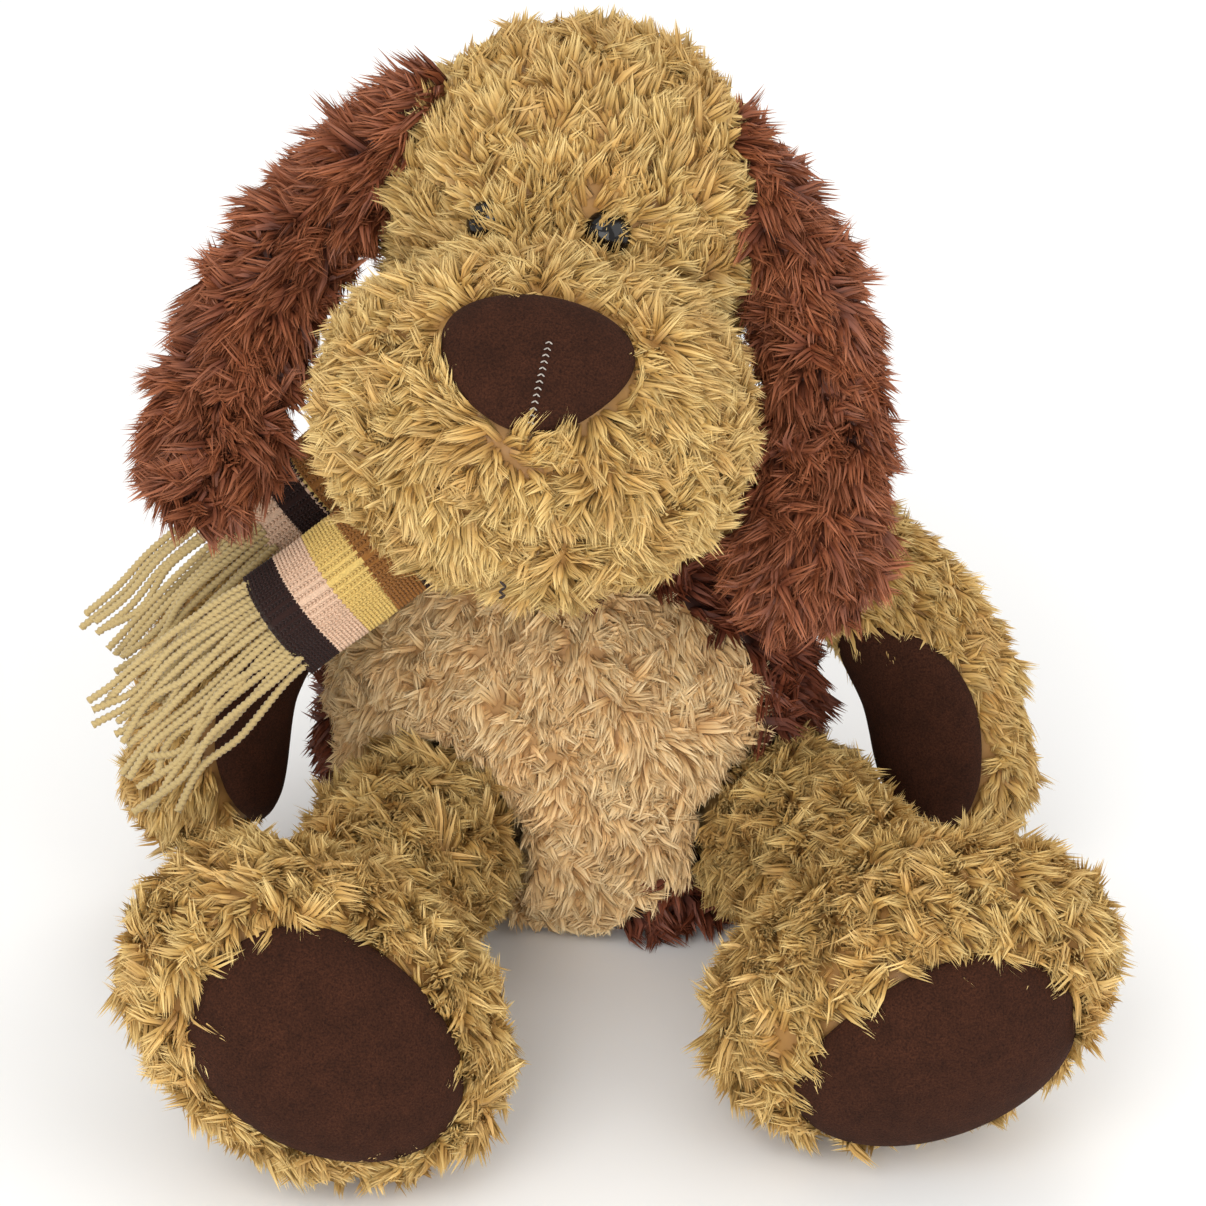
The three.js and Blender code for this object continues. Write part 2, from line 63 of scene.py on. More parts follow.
# The dog's own sizes, in millimetres, measured from the point below its neck
NECK_AT = Vector((-13.5, 10, 140))
NECK_RADIUS = 24
HEAD_YAW, HEAD_ROLL = -7, 5.5
CRANIUM, CRANIUM_AT = (54, 53, 56), Vector((0, -4, 70))
MUZZLE, MUZZLE_AT = (59, 49, 47), Vector((0, -70, 40))
NOSE_SIZE, NOSE_POINT, NOSE_LIFT = (50, 39), 0.26, 45
MOUTH_LIFT = -38
EYE_RADIUS, EYE_SPACING, EYE_RISE = 6.5, 34, 18
SHANK_RADIUS, SHANK_LENGTH = 2, 14
EYE_SUNK = -3.4  # drawn into the stuffing by its washer
EAR_LENGTH, EAR_WIDTHS, EAR_THICKNESS = 132, (28, 46), 17
EAR_ROOT, EAR_SPLAY = Vector((41, -8, 98)), {"left": 8, "right": 0}
TORSO_SIZE, TORSO_AT, TORSO_YAW = (152, 112, 138), Vector((-10, 10, 0)), -15
TORSO_OUTLINE = ((0.88, 0), (0.98, 0.12), (1, 0.34), (0.93, 0.54), (0.72, 0.74), (0.455, 0.88), (0.313, 1))
BIB_SIZE, BIB_POINT, BIB_SHIFT, BIB_RISE = (128, 119), 0.3, -5.5, -6
SHOULDER_SPACING, SHOULDER_Y, SHOULDER_HEIGHT, SHOULDER_RADIUS = 124, 5, 108, 20
ARM_REACH = {"left": (48, -15, -68), "right": (54, -15, -68)}
PAW_RADIUS, PAD_SIZE, PAD_POINT = 23, (40, 66), -0.1
PAD_FELT = (47, 66)  # laid flat
PAD_FACING = {"left": (0.85, -0.5, 0.15), "right": (-0.5, -0.82, 0.2)}
HIP_RADIUS = 28
HIPS = {"left": Vector((-50, -26, 32)), "right": Vector((52, -25, 32))}
FOOT, SOLE_SIZE, SOLE_POINT = (40, 56, 38), (58, 80), 0.12
LEGS = {
    "left": {"toe": (-0.77, 0, 0.64), "facing": (0.2, -0.95, 0.2), "at": (-75, -144)},
    "right": {"toe": (0.93, 0, 0.37), "facing": (0.14, -0.98, -0.12), "at": (83, -127)},
}
TAIL_LENGTH, TAIL_RADIUS = 46, 13
SCARF_WIDTH, SCARF_THICKNESS = 33, 5
SCARF_RADIUS, SCARF_ROLL, SCARF_TILT, SCARF_HEIGHT = 39.5, (8.5, 11), 16, 134
KNOT_AT, KNOT = Vector((-57, -31, 126)), (11, 10, 13)
TUCKED_IN = {"front": 15, "rear": 6}  # cloth that goes on under the muzzle and the ear
FRINGE_LENGTH, FRINGE_SPREAD, FRINGE_YARNS = 48, 1.35, 16
SCARF_TAILS = {
    "front": {"root": (-70, -42, 125), "along": (-0.8, -0.3, -0.5), "droop": (-0.7, -0.26, -0.66),
              "facing": (-0.1, -0.75, 0.6), "length": 26},
    "rear": {"root": (-63, 0, 146), "along": (-0.8, -0.36, -0.48), "droop": (-0.62, -0.2, -0.75),
             "facing": (-0.2, -0.7, 0.7), "length": 44},
}

# How far the woven backing lies inside the plush's middle height, and felt outside it
BACKING = 3
FELT_RISE = 2.6

neck_joint = next(joint for joint in frame["joints"] if joint["name"] == "head_turn")
TOY = Matrix.Translation(Vector(neck_joint["pos_m"]) - NECK_AT * MM) @ Matrix.Scale(MM, 4)
HEAD = (TOY @ Matrix.Translation(NECK_AT) @ Matrix.Rotation(math.radians(HEAD_YAW), 4, "Z")
        @ Matrix.Rotation(math.radians(HEAD_ROLL), 4, "Y"))


# ---- Camera, light and floor ----
def set_up_studio():
    scene = bpy.context.scene
    target = TOY @ Vector((0, -15, 100))
    rise = math.radians(28)
    lens = bpy.data.cameras.new("camera")
    lens.lens = 103.45
    lens.clip_end = 60
    camera = bpy.data.objects.new("camera", lens)
    camera.location = target + Vector((0, -math.cos(rise), math.sin(rise)))
    camera.rotation_euler = (target - camera.location).to_track_quat("-Z", "Y").to_euler()
    scene.collection.objects.link(camera)
    scene.camera = camera
    for name, place, size, watts in (
        ("key_light", (-0.7, -1.3, 1.6), 1.1, 13),
        ("fill_light", (1.3, -1.0, 0.9), 1.3, 8),
        ("rim_light", (0.3, 1.3, 1.3), 1.2, 7),
        ("front_light", (-0.1, -1.1, 0.3), 0.7, 5.5),
    ):
        lamp = bpy.data.lights.new(name, "AREA")
        lamp.size = size
        lamp.energy = watts
        light = bpy.data.objects.new(name, lamp)
        light.location = place
        light.rotation_euler = (Vector((0, 0, 0.1)) - light.location).to_track_quat("-Z", "Y").to_euler()
        scene.collection.objects.link(light)
    world = bpy.data.worlds.new("studio")
    world.use_nodes = True
    background = world.node_tree.nodes["Background"]
    background.inputs["Color"].default_value = (1, 0.99, 0.97, 1)
    background.inputs["Strength"].default_value = 0.85
    scene.world = world
    scene.view_settings.view_transform = "Standard"


# ---- Finishes ----
def linear(red, green, blue):
    """A colour as it is picked from a chart, 0 to 255, for a shader's socket."""
    return tuple(
        (c / 12.92 if c <= 0.04045 else ((c + 0.055) / 1.055) ** 2.4)
        for c in (red / 255, green / 255, blue / 255)
    ) + (1,)


class Finish:
    """A material with a Principled shader, whose other nodes are added one by one."""

    def __init__(self, name, roughness=0.8, **fixed):
        self.material = bpy.data.materials.new(name)
        self.material.use_nodes = True
        self.tree = self.material.node_tree
        self.shader = self.tree.nodes["Principled BSDF"]
        self.shader.inputs["Roughness"].default_value = roughness
        for socket, value in fixed.items():
            self.shader.inputs[socket.replace("_", " ")].default_value = value
        self.place = self.tree.nodes.new("ShaderNodeTexCoord").outputs["Object"]

    def add(self, kind, links=(), **settings):
        node = self.tree.nodes.new(kind)
        for setting, value in settings.items():
            setattr(node, setting, value)
        for socket, value in dict(links).items():
            if isinstance(value, bpy.types.NodeSocket):
                self.tree.links.new(value, node.inputs[socket])
            else:
                node.inputs[socket].default_value = value
        return node

    def noise(self, size, detail=2.0, rough=0.5):
        """A soft noise from 0 to 1 whose patches are about size millimetres across."""
        return self.add("ShaderNodeTexNoise", {
            "Vector": self.place, "Scale": 1 / (size * MM), "Detail": detail, "Roughness": rough,
        }).outputs["Fac"]

    def spread(self, value, low, high, to_low=0.0, to_high=1.0):
        return self.add("ShaderNodeMapRange", {
            "Value": value, "From Min": low, "From Max": high, "To Min": to_low, "To Max": to_high,
        }).outputs["Result"]

    def grey(self, value):
        channels = {"Red": value, "Green": value, "Blue": value}
        return self.add("ShaderNodeCombineColor", channels).outputs["Color"]

    def attribute(self, name):
        return self.add("ShaderNodeAttribute", attribute_name=name).outputs["Fac"]

    def ramp(self, value, stops, interpolation="LINEAR"):
        node = self.add("ShaderNodeValToRGB", {"Fac": value})
        node.color_ramp.interpolation = interpolation
        elements = node.color_ramp.elements
        while len(elements) < len(stops):
            elements.new(0.5)
        for element, (where, colour) in zip(elements, stops):
            element.position = where
            element.color = linear(*colour)
        return node.outputs["Color"]

    def mix(self, share, first, second, blend="MIX"):
        node = self.add("ShaderNodeMix", data_type="RGBA", blend_type=blend)
        for index, value in ((0, share), (6, first), (7, second)):
            if isinstance(value, bpy.types.NodeSocket):
                self.tree.links.new(value, node.inputs[index])
            else:
                node.inputs[index].default_value = value
        return node.outputs[2]

    def colour(self, socket):
        self.tree.links.new(socket, self.shader.inputs["Base Color"])
        return self

    def rough(self, socket):
        self.tree.links.new(socket, self.shader.inputs["Roughness"])
        return self

    def bump(self, height, depth, strength=1.0):
        node = self.add("ShaderNodeBump", {"Height": height, "Distance": depth * MM, "Strength": strength})
        self.tree.links.new(node.outputs["Normal"], self.shader.inputs["Normal"])
        return self


def plush(name, root, middle, tip, patch, sheen=0.35):
    """Knitted-in pile, a little different lock by lock: painted shade darkens its roots and a painted
    highlight lightens its tips.
    """
    finish = Finish(name, 0.62, Sheen_Weight=sheen, Sheen_Roughness=0.45, Sheen_Tint=linear(*tip))
    along = finish.attribute("along")
    tint = finish.attribute("tint")
    # Painted shade at the roots, a painted highlight at the tips, and the pile's own colour between
    shade = finish.ramp(along, [(0, root), (0.42, middle), (1, tip)])
    patches = finish.spread(finish.noise(14, 3), 0.42, 0.68)
    shade = finish.mix(finish.spread(patches, 0, 1, 0, 0.55), shade, linear(*patch))
    fibre = finish.attribute("fibre")
    threads = finish.add("ShaderNodeCombineXYZ", {"X": fibre, "Y": along}).outputs["Vector"]
    streak = finish.add("ShaderNodeTexNoise", {"Vector": threads, "Scale": 1.7, "Detail": 3.0}).outputs[0]
    paler = finish.spread(tint, 0, 1, 0.84, 1.14)
    streaks = finish.spread(streak, 0.36, 0.64, 0.84, 1.12)
    paler = finish.add("ShaderNodeMath", {0: paler, 1: streaks}, operation="MULTIPLY").outputs[0]
    finish.colour(finish.mix(1.0, shade, finish.grey(paler), "MULTIPLY"))
    finish.rough(finish.spread(finish.noise(5), 0.3, 0.7, 0.5, 0.72))
    return finish.material


def felt(name, ground, fleck):
    """Short-napped suede-like felt, mottled by its own fibres."""
    finish = Finish(name, 0.95, Sheen_Weight=0.05, Sheen_Roughness=0.4, Sheen_Tint=linear(120, 72, 50),
                    Specular_IOR_Level=0.15)
    fine = finish.noise(0.55, 4, 0.7)
    broad = finish.noise(7, 3, 0.6)
    shade = finish.ramp(finish.spread(fine, 0.32, 0.7), [(0, ground), (1, fleck)])
    darker = finish.mix(finish.spread(broad, 0.35, 0.7, 0, 0.35), shade, linear(*(0.6 * c for c in ground)))
    return finish.colour(darker).bump(fine, 0.35, 0.8).material


def plain(name, shade, other, size, roughness, **fixed):
    """A finish of one colour that wanders a little towards another."""
    finish = Finish(name, roughness, **fixed)
    grain = finish.noise(size, 4)
    finish.colour(finish.ramp(finish.spread(grain, 0.3, 0.7), [(0, shade), (1, other)]))
    return finish.bump(grain, size * 0.06, 0.5).material


# For each pile: painted shade for its roots, its own colour, a painted highlight for its tips, and its own
# patches
TAN = plush("tan_plush", (144, 101, 44), (192, 154, 84), (229, 203, 138), (184, 137, 70))
BROWN = plush("brown_plush", (52, 20, 10), (104, 48, 26), (144, 78, 48), (84, 36, 18), 0.2)
EAR = plush("ear_plush", (62, 24, 12), (124, 64, 36), (176, 108, 70), (96, 46, 24), 0.25)
CREAM = plush("cream_plush", (190, 143, 86), (226, 190, 134), (246, 224, 178), (216, 172, 114), 0.4)
DARK_FELT = felt("dark_felt", (32, 14, 7), (72, 40, 25))
GLOSS = plain("gloss_black", (8, 6, 6), (14, 10, 10), 3, 0.07, Specular_IOR_Level=0.35)
THREAD = plain("seam_thread", (140, 132, 124), (176, 168, 158), 0.6, 0.6)
DARK_THREAD = plain("mouth_thread", (34, 24, 22), (56, 42, 38), 0.6, 0.6)
FIBRE = plain("fibre_fill", (240, 238, 232), (250, 249, 246), 2, 0.95)
PELLETS = plain("bead_bag", (204, 204, 198), (226, 226, 222), 3, 0.6)
WASHER = plain("washer_plastic", (206, 206, 204), (224, 224, 222), 4, 0.45)


def knit(name):
    """Fine machine knitting in stripes, mottled a little lighter and darker by a fine noise."""
    finish = Finish(name, 0.9, Sheen_Weight=0.06, Sheen_Roughness=0.5, Specular_IOR_Level=0.25)
    stripe = finish.attribute("stripe")
    dark, pink, gold, bronze = (46, 26, 22), (224, 190, 162), (222, 190, 112), (150, 100, 48)
    stops = [(0, dark), (0.125, pink), (0.375, gold), (0.625, bronze), (0.875, dark)]
    shade = finish.ramp(stripe, stops, "CONSTANT")
    fibres = finish.spread(finish.noise(0.5, 3), 0.3, 0.7, 0.78, 1.12)
    finish.colour(finish.mix(1.0, shade, finish.grey(fibres), "MULTIPLY"))
    return finish.bump(finish.noise(0.3), 0.1, 0.6).material


KNIT = knit("scarf_knit")


def yarn(name):
    finish = Finish(name, 0.75, Sheen_Weight=0.3, Sheen_Roughness=0.5)
    groove = finish.attribute("groove")
    # Painted shade in the grooves between the plies and a painted highlight on their crowns; nothing here
    # writes a groove value, so it reads 0 and all the yarn takes the grooves' shade
    shade = finish.ramp(groove, [(0, (176, 152, 100)), (0.5, (232, 216, 166)), (1, (248, 238, 200))])
    fibres = finish.noise(0.25, 3)
    worn = finish.mix(finish.spread(fibres, 0.3, 0.8, 0, 0.35), shade, linear(216, 196, 142))
    return finish.colour(worn).bump(fibres, 0.08, 0.6).material


YARN = yarn("fringe_yarn")


# ---- Making and placing pieces ----
def finished(mesh, material):
    """Gives a mesh one material and smooth shading."""
    mesh.materials.clear()
    mesh.materials.append(material)
    mesh.shade_smooth()


def made(name, form, material):
    mesh = bpy.data.meshes.new(name)
    form.to_mesh(mesh)
    form.free()
    finished(mesh, material)
    piece = bpy.data.objects.new(name, mesh)
    bpy.context.scene.collection.objects.link(piece)
    return piece


def settled(piece, *modifiers):
    """The piece's mesh with these modifiers, and any it has, carried out."""
    for kind, settings in modifiers:
        modifier = piece.modifiers.new(kind.lower(), kind)
        for setting, value in settings.items():
            setattr(modifier, setting, value)
    depsgraph = bpy.context.evaluated_depsgraph_get()
    mesh = bpy.data.meshes.new_from_object(piece.evaluated_get(depsgraph), depsgraph=depsgraph)
    piece.modifiers.clear()
    old, piece.data = piece.data, mesh
    bpy.data.meshes.remove(old)
    return piece


def aimed(place, facing, upward):
    """A matrix that puts +Z along facing and +Y as near as it can to upward."""
    z = Vector(facing).normalized()
    x = Vector(upward).cross(z).normalized()
    return Matrix.Translation(place) @ Matrix((x, z.cross(x), z)).transposed().to_4x4()


def spots(mesh):
    """Where a mesh's vertices are, one row each."""
    places = np.empty(len(mesh.vertices) * 3)
    mesh.vertices.foreach_get("co", places)
    return places.reshape(-1, 3)


def move_spots(mesh, places):
    mesh.vertices.foreach_set("co", np.asarray(places, float).ravel())
    mesh.update()


def through(matrix, places):
    """These places, a row each, after a matrix."""
    matrix = np.array(matrix)
    return np.asarray(places) @ matrix[:3, :3].T + matrix[:3, 3]


def unit(rows):
    return rows / np.maximum(np.linalg.norm(rows, axis=1, keepdims=True), 1e-9)


# ---- Forms: closed shapes in the frame's metres ----
def ball_form(matrix, radii, at=(0, 0, 0), inset=0.0, detail=5):
    form = bmesh.new()
    bmesh.ops.create_icosphere(form, subdivisions=detail, radius=1)
    size = Matrix.Diagonal([radius - inset for radius in radii] + [1])
    bmesh.ops.transform(form, matrix=matrix @ Matrix.Translation(at) @ size, verts=form.verts)
    return form


def smooth_path(points, count=120):
    """Evenly spaced points on a smooth curve through a few."""
    points = np.array([list(point) for point in points], float)
    knots = np.vstack([2 * points[0] - points[1], points, 2 * points[-1] - points[-2]])
    rows = []
    for a, b, c, d in zip(knots, knots[1:], knots[2:], knots[3:]):
        t = np.linspace(0, 1, 60)[:, None]
        rows.append(0.5 * (2 * b + (c - a) * t + (2 * a - 5 * b + 4 * c - d) * t**2
                           + (3 * b - a - 3 * c + d) * t**3))
    dense = np.vstack(rows)
    run = np.concatenate([[0], np.cumsum(np.linalg.norm(np.diff(dense, axis=0), axis=1))])
    even = np.linspace(0, run[-1], count)
    return np.stack([np.interp(even, run, dense[:, axis]) for axis in range(3)], axis=1)


def spun(outline, steps=28):
    """A closed round form from a half outline of (radius, height) that starts and ends on its axis."""
    form = bmesh.new()
    verts = [form.verts.new((radius, 0, height)) for radius, height in outline]
    edges = [form.edges.new(pair) for pair in zip(verts, verts[1:])]
    bmesh.ops.spin(form, geom=verts + edges, cent=(0, 0, 0), axis=(0, 0, 1), angle=2 * math.pi,
                   steps=steps, use_merge=True)
    bmesh.ops.remove_doubles(form, verts=form.verts, dist=1e-6)
    bmesh.ops.recalc_face_normals(form, faces=form.faces)
    return form


def tube_form(matrix, points, widths, depths, facing, inset=0.0):
    """A capsule bent along a path, width by depth at its root and tip."""
    quarter = [math.pi / 2 * step / 6 for step in range(7)]
    outline = [(math.sin(turn), 0.5 + math.cos(turn)) for turn in quarter]
    outline += [(1, 0.5 - step / 14) for step in range(1, 14)]
    outline += [(math.cos(turn), -0.5 - math.sin(turn)) for turn in quarter]
    form = spun(outline)
    path = smooth_path(points)
    tangents = unit(np.gradient(path, axis=0))
    last = len(path) - 1
    facing = Vector(facing).normalized()
    for vert in form.verts:
        x, y, height = vert.co
        share = min(max(0.5 - height, 0), 1)
        spot = min(int(share * last), last - 1)
        step = share * last - spot
        tangent = Vector(tangents[spot] * (1 - step) + tangents[spot + 1] * step).normalized()
        middle = Vector(path[spot] * (1 - step) + path[spot + 1] * step)
        side = tangent.cross(facing).normalized()
        front = side.cross(tangent)
        width = widths[0] + (widths[1] - widths[0]) * share
        depth = depths[0] + (depths[1] - depths[0]) * share
        beyond = -math.copysign(max(0, abs(height) - 0.5), height)
        vert.co = (middle + tangent * beyond * (width / 2 - inset)
                   + side * x * (width / 2 - inset) + front * y * (depth / 2 - inset))
    bmesh.ops.transform(form, matrix=matrix, verts=form.verts)
    return form


def torso_form(inset=0.0):
    width, depth, height = TORSO_SIZE
    outline = smooth_path([(across, 0, up) for across, up in TORSO_OUTLINE], 26)[:, (0, 2)]
    outline = [(0, inset)] + [(across * width / 2 - inset, inset + up * (height - 2 * inset))
                              for across, up in outline]
    outline.append((0, outline[-1][1]))
    form = spun(outline, 40)
    flatter = Matrix.Diagonal((1, (depth / 2 - inset) / (width / 2 - inset), 1, 1))
    turn = Matrix.Rotation(math.radians(TORSO_YAW), 4, "Z")
    bmesh.ops.transform(form, matrix=TOY @ Matrix.Translation(TORSO_AT) @ turn @ flatter, verts=form.verts)
    return form


def on_torso(x, y, z):
    return Matrix.Rotation(math.radians(TORSO_YAW), 3, "Z") @ Vector((x, y, 0)) + TORSO_AT + Vector((0, 0, z))


# ---- Stuffed forms ----
CLOTH_PRESSURE, CLOTH_FRAMES = 4, 20


def stuffed(name, forms, material, voxel=4.0, swell=2.5):
    """One padded backing from overlapping forms: remeshed evenly, smoothed, then settled as cloth.

    The pressure is slight: it fills the ears, moves parts of the torso, and leaves the limbs as they are.
    """
    whole = bmesh.new()
    for form in forms:
        part = bpy.data.meshes.new("part")
        form.to_mesh(part)
        form.free()
        whole.from_mesh(part)
        bpy.data.meshes.remove(part)
    piece = made(name, whole, material)
    settled(piece, ("REMESH", {"mode": "VOXEL", "voxel_size": voxel * MM}),
            ("SMOOTH", {"factor": 0.6, "iterations": 6}))
    if swell:
        start = spots(piece.data)
        cloth = piece.modifiers.new("cloth", "CLOTH")
        cloth.settings.use_pressure = True
        cloth.settings.uniform_pressure_force = CLOTH_PRESSURE
        cloth.settings.effector_weights.gravity = 0
        cloth.point_cache.frame_end = CLOTH_FRAMES
        for moment in range(1, CLOTH_FRAMES + 1):
            bpy.context.scene.frame_set(moment)
        settled(piece)
        bpy.context.scene.frame_set(1)
        step = spots(piece.data) - start
        far = np.linalg.norm(step, axis=1, keepdims=True)
        move_spots(piece.data, start + step * np.minimum(1, swell * MM / np.maximum(far, 1e-9)))
    piece.data.shade_smooth()
    return piece


# ---- Placing many small copies ----
def planted(name, patterns, places, **values):
    """Copies of small patterns as one mesh, each with +Z along along_dir and +Y towards facing_dir."""
    cloud = bpy.data.meshes.new(name)
    cloud.vertices.add(len(places))
    cloud.vertices.foreach_set("co", places.ravel())
    kinds = {1: "FLOAT", 3: "FLOAT_VECTOR"}
    for key, value in values.items():
        value = np.asarray(value, float)
        wide = 1 if value.ndim == 1 else value.shape[1]
        layer = cloud.attributes.new(key, kinds[wide] if key != "pick" else "INT", "POINT")
        if key == "pick":
            layer.data.foreach_set("value", value.astype(int))
        else:
            layer.data.foreach_set("value" if wide == 1 else "vector", value.ravel())
    piece = bpy.data.objects.new(name, cloud)
    bpy.context.scene.collection.objects.link(piece)

    drawer = bpy.data.collections.new("patterns")
    for index, pattern in enumerate(patterns):
        mesh = bpy.data.meshes.new(f"pattern_{index:02d}")
        pattern.to_mesh(mesh)
        mesh.shade_smooth()
        drawer.objects.link(bpy.data.objects.new(mesh.name, mesh))
    tree = bpy.data.node_groups.new("plant", "GeometryNodeTree")
    tree.interface.new_socket("Geometry", in_out="INPUT", socket_type="NodeSocketGeometry")
    tree.interface.new_socket("Geometry", in_out="OUTPUT", socket_type="NodeSocketGeometry")

    def node(kind, **settings):
        new = tree.nodes.new(kind)
        for setting, value in settings.items():
            setattr(new, setting, value)
        return new

    def read(key, kind="FLOAT_VECTOR"):
        new = node("GeometryNodeInputNamedAttribute", data_type=kind)
        new.inputs["Name"].default_value = key
        return new.outputs["Attribute"]

    given, result = node("NodeGroupInput"), node("NodeGroupOutput")
    source = node("GeometryNodeCollectionInfo", transform_space="ORIGINAL")
    source.inputs["Collection"].default_value = drawer
    source.inputs["Separate Children"].default_value = True
    source.inputs["Reset Children"].default_value = True
    lean = node("FunctionNodeAlignRotationToVector", axis="Z")
    turn = node("FunctionNodeAlignRotationToVector", axis="Y", pivot_axis="Z")
    copies = node("GeometryNodeInstanceOnPoints")
    copies.inputs["Pick Instance"].default_value = True
    real = node("GeometryNodeRealizeInstances")
    link = tree.links.new
    link(given.outputs[0], copies.inputs["Points"])
    link(source.outputs[0], copies.inputs["Instance"])
    link(read("pick", "INT"), copies.inputs["Instance Index"])
    link(read("along_dir"), lean.inputs["Vector"])
    link(lean.outputs[0], turn.inputs["Rotation"])
    link(read("facing_dir"), turn.inputs["Vector"])
    link(turn.outputs[0], copies.inputs["Rotation"])
    link(read("size"), copies.inputs["Scale"])
    link(copies.outputs[0], real.inputs[0])
    link(real.outputs[0], result.inputs[0])
    piece.modifiers.new("plant", "NODES").node_group = tree
    settled(piece)
    for key in ("along_dir", "facing_dir", "size", "pick"):
        if key in piece.data.attributes:
            piece.data.attributes.remove(piece.data.attributes[key])
    for pattern in list(drawer.objects):
        mesh = pattern.data
        bpy.data.objects.remove(pattern)
        bpy.data.meshes.remove(mesh)
    bpy.data.collections.remove(drawer)
    bpy.data.node_groups.remove(tree)
    return piece


def joined(first, *others):
    """The first piece with the others' meshes added to it."""
    with bpy.context.temp_override(active_object=first, selected_editable_objects=[first, *others]):
        bpy.ops.object.join()
    return first


# ---- Pile ----
STRAND = 0.21  # a strand's width, as a share of its lock's
UNDERCOAT = 0.32  # the share of shorter locks that stand up between the others
SEAT_HEIGHT, SEAT_PILE = 14, 0.35  # under this height, faces that look down keep this share of their locks
PILE_FLOOR = 0.3  # no tip is lower than this

# Locks on a square millimetre, their length and width, and how far they stand up
PILE = {
    "head": (0.195, 11.5, 4.2, 0.5),
    "muzzle": (0.26, 11.5, 3.8, 0.62),
    "ear": (0.25, 15.5, 4.4, 0.65),
    "belly": (0.215, 10, 4.2, 0.5),
    "back": (0.085, 14.5, 5.6, 0.95),
    "neck": (0.1, 8, 4.0, 0.4),
    "arm": (0.2, 11.5, 4.0, 0.5),
    "leg": (0.178, 13, 4.2, 0.55),
    "tail": (0.2, 11, 4.2, 0.5),
}


def lock_form(rng, strands=14, curl=0.35, spread=0.3):
    """A lock of pile one unit long and about one wide: flat strands that curl towards +Y and fan out."""
    form = bmesh.new()
    height = form.verts.layers.float.new("along")
    fibre = form.verts.layers.float.new("fibre")
    wave = Vector((rng.normal(), rng.normal(), 0)) * 0.14
    for strand in range(strands):
        heading = 2 * math.pi * (strand + rng.uniform(0, 0.8)) / strands
        out = Vector((math.cos(heading), math.sin(heading), 0)) * math.sqrt(rng.uniform(0.05, 1)) * 0.52
        reach = rng.uniform(0.68, 1.0)
        bend = Vector((rng.normal() * 0.09, curl * rng.uniform(0.8, 1.2), 0))
        turn = Matrix.Rotation(heading + math.pi / 2 + rng.normal() * 0.6, 3, "Z")
        own = rng.uniform(0, 40)
        verts = bmesh.ops.create_grid(form, x_segments=1, y_segments=2, size=0.5)["verts"]
        tip = []
        for vert in verts:
            share = (0, 0.56, 1)[round((vert.co.y + 0.5) * 2)]
            across = vert.co.x * STRAND
            vert[fibre] = own + 2.4 * vert.co.x
            centre = out * (0.75 + spread * share) * (1 - 0.3 * share**3) + bend * share**2 + UP * share
            centre += wave * math.sin(4.4 * share)
            vert.co = centre * reach + turn @ Vector((across, 0, 0))
            vert[height] = share * reach
            if share > 0.99:
                tip.append(vert)
        bmesh.ops.pointmerge(form, verts=tip, merge_co=(tip[0].co + tip[1].co) / 2)
    lean = sum(face.normal.y for face in form.faces)
    if lean > 0:
        bmesh.ops.reverse_faces(form, faces=form.faces)
    return form


LOCKS = [lock_form(np.random.default_rng(40 + kind), curl=curl)
         for kind, curl in enumerate((0.25, 0.5, 0.75, 0.5, 0.9, 0.35))]


def swirl(places, size, seed):
    """A smooth random direction at each place, that turns over in about size millimetres."""
    rng = np.random.default_rng(seed)
    field = np.zeros_like(places)
    for _ in range(10):
        wave = rng.normal(size=3)
        wave *= 2 * math.pi / (size * MM * rng.uniform(0.7, 1.6)) / np.linalg.norm(wave)
        field += np.sin(places @ wave + rng.uniform(0, 2 * math.pi))[:, None] * rng.normal(size=3)
    return field / math.sqrt(10)


def strewn(mesh, each_square_mm, rng):
    """Random places spread evenly over a mesh, with the surface's direction at each."""
    mesh.calc_loop_triangles()
    corners = np.empty(len(mesh.loop_triangles) * 3, int)
    mesh.loop_triangles.foreach_get("vertices", corners)
    corners = corners.reshape(-1, 3)
    places = spots(mesh)
    normals = np.empty(len(mesh.vertices) * 3)
    mesh.vertex_normals.foreach_get("vector", normals)
    normals = normals.reshape(-1, 3)
    a, b, c = (places[corners[:, k]] for k in range(3))
    areas = np.linalg.norm(np.cross(b - a, c - a), axis=1) / 2
    count = int(areas.sum() / MM**2 * each_square_mm)
    edges = np.cumsum(areas) / areas.sum()
    pick = np.searchsorted(edges, (np.arange(count) + rng.uniform(0, 1, count)) / count)
    pick = np.minimum(pick, len(areas) - 1)
    u, v = rng.uniform(size=(2, count))
    over = u + v > 1
    u[over], v[over] = 1 - u[over], 1 - v[over]
    weights = np.stack([1 - u - v, u, v], axis=1)[:, :, None]
    return (places[corners[pick]] * weights).sum(1), unit((normals[corners[pick]] * weights).sum(1))


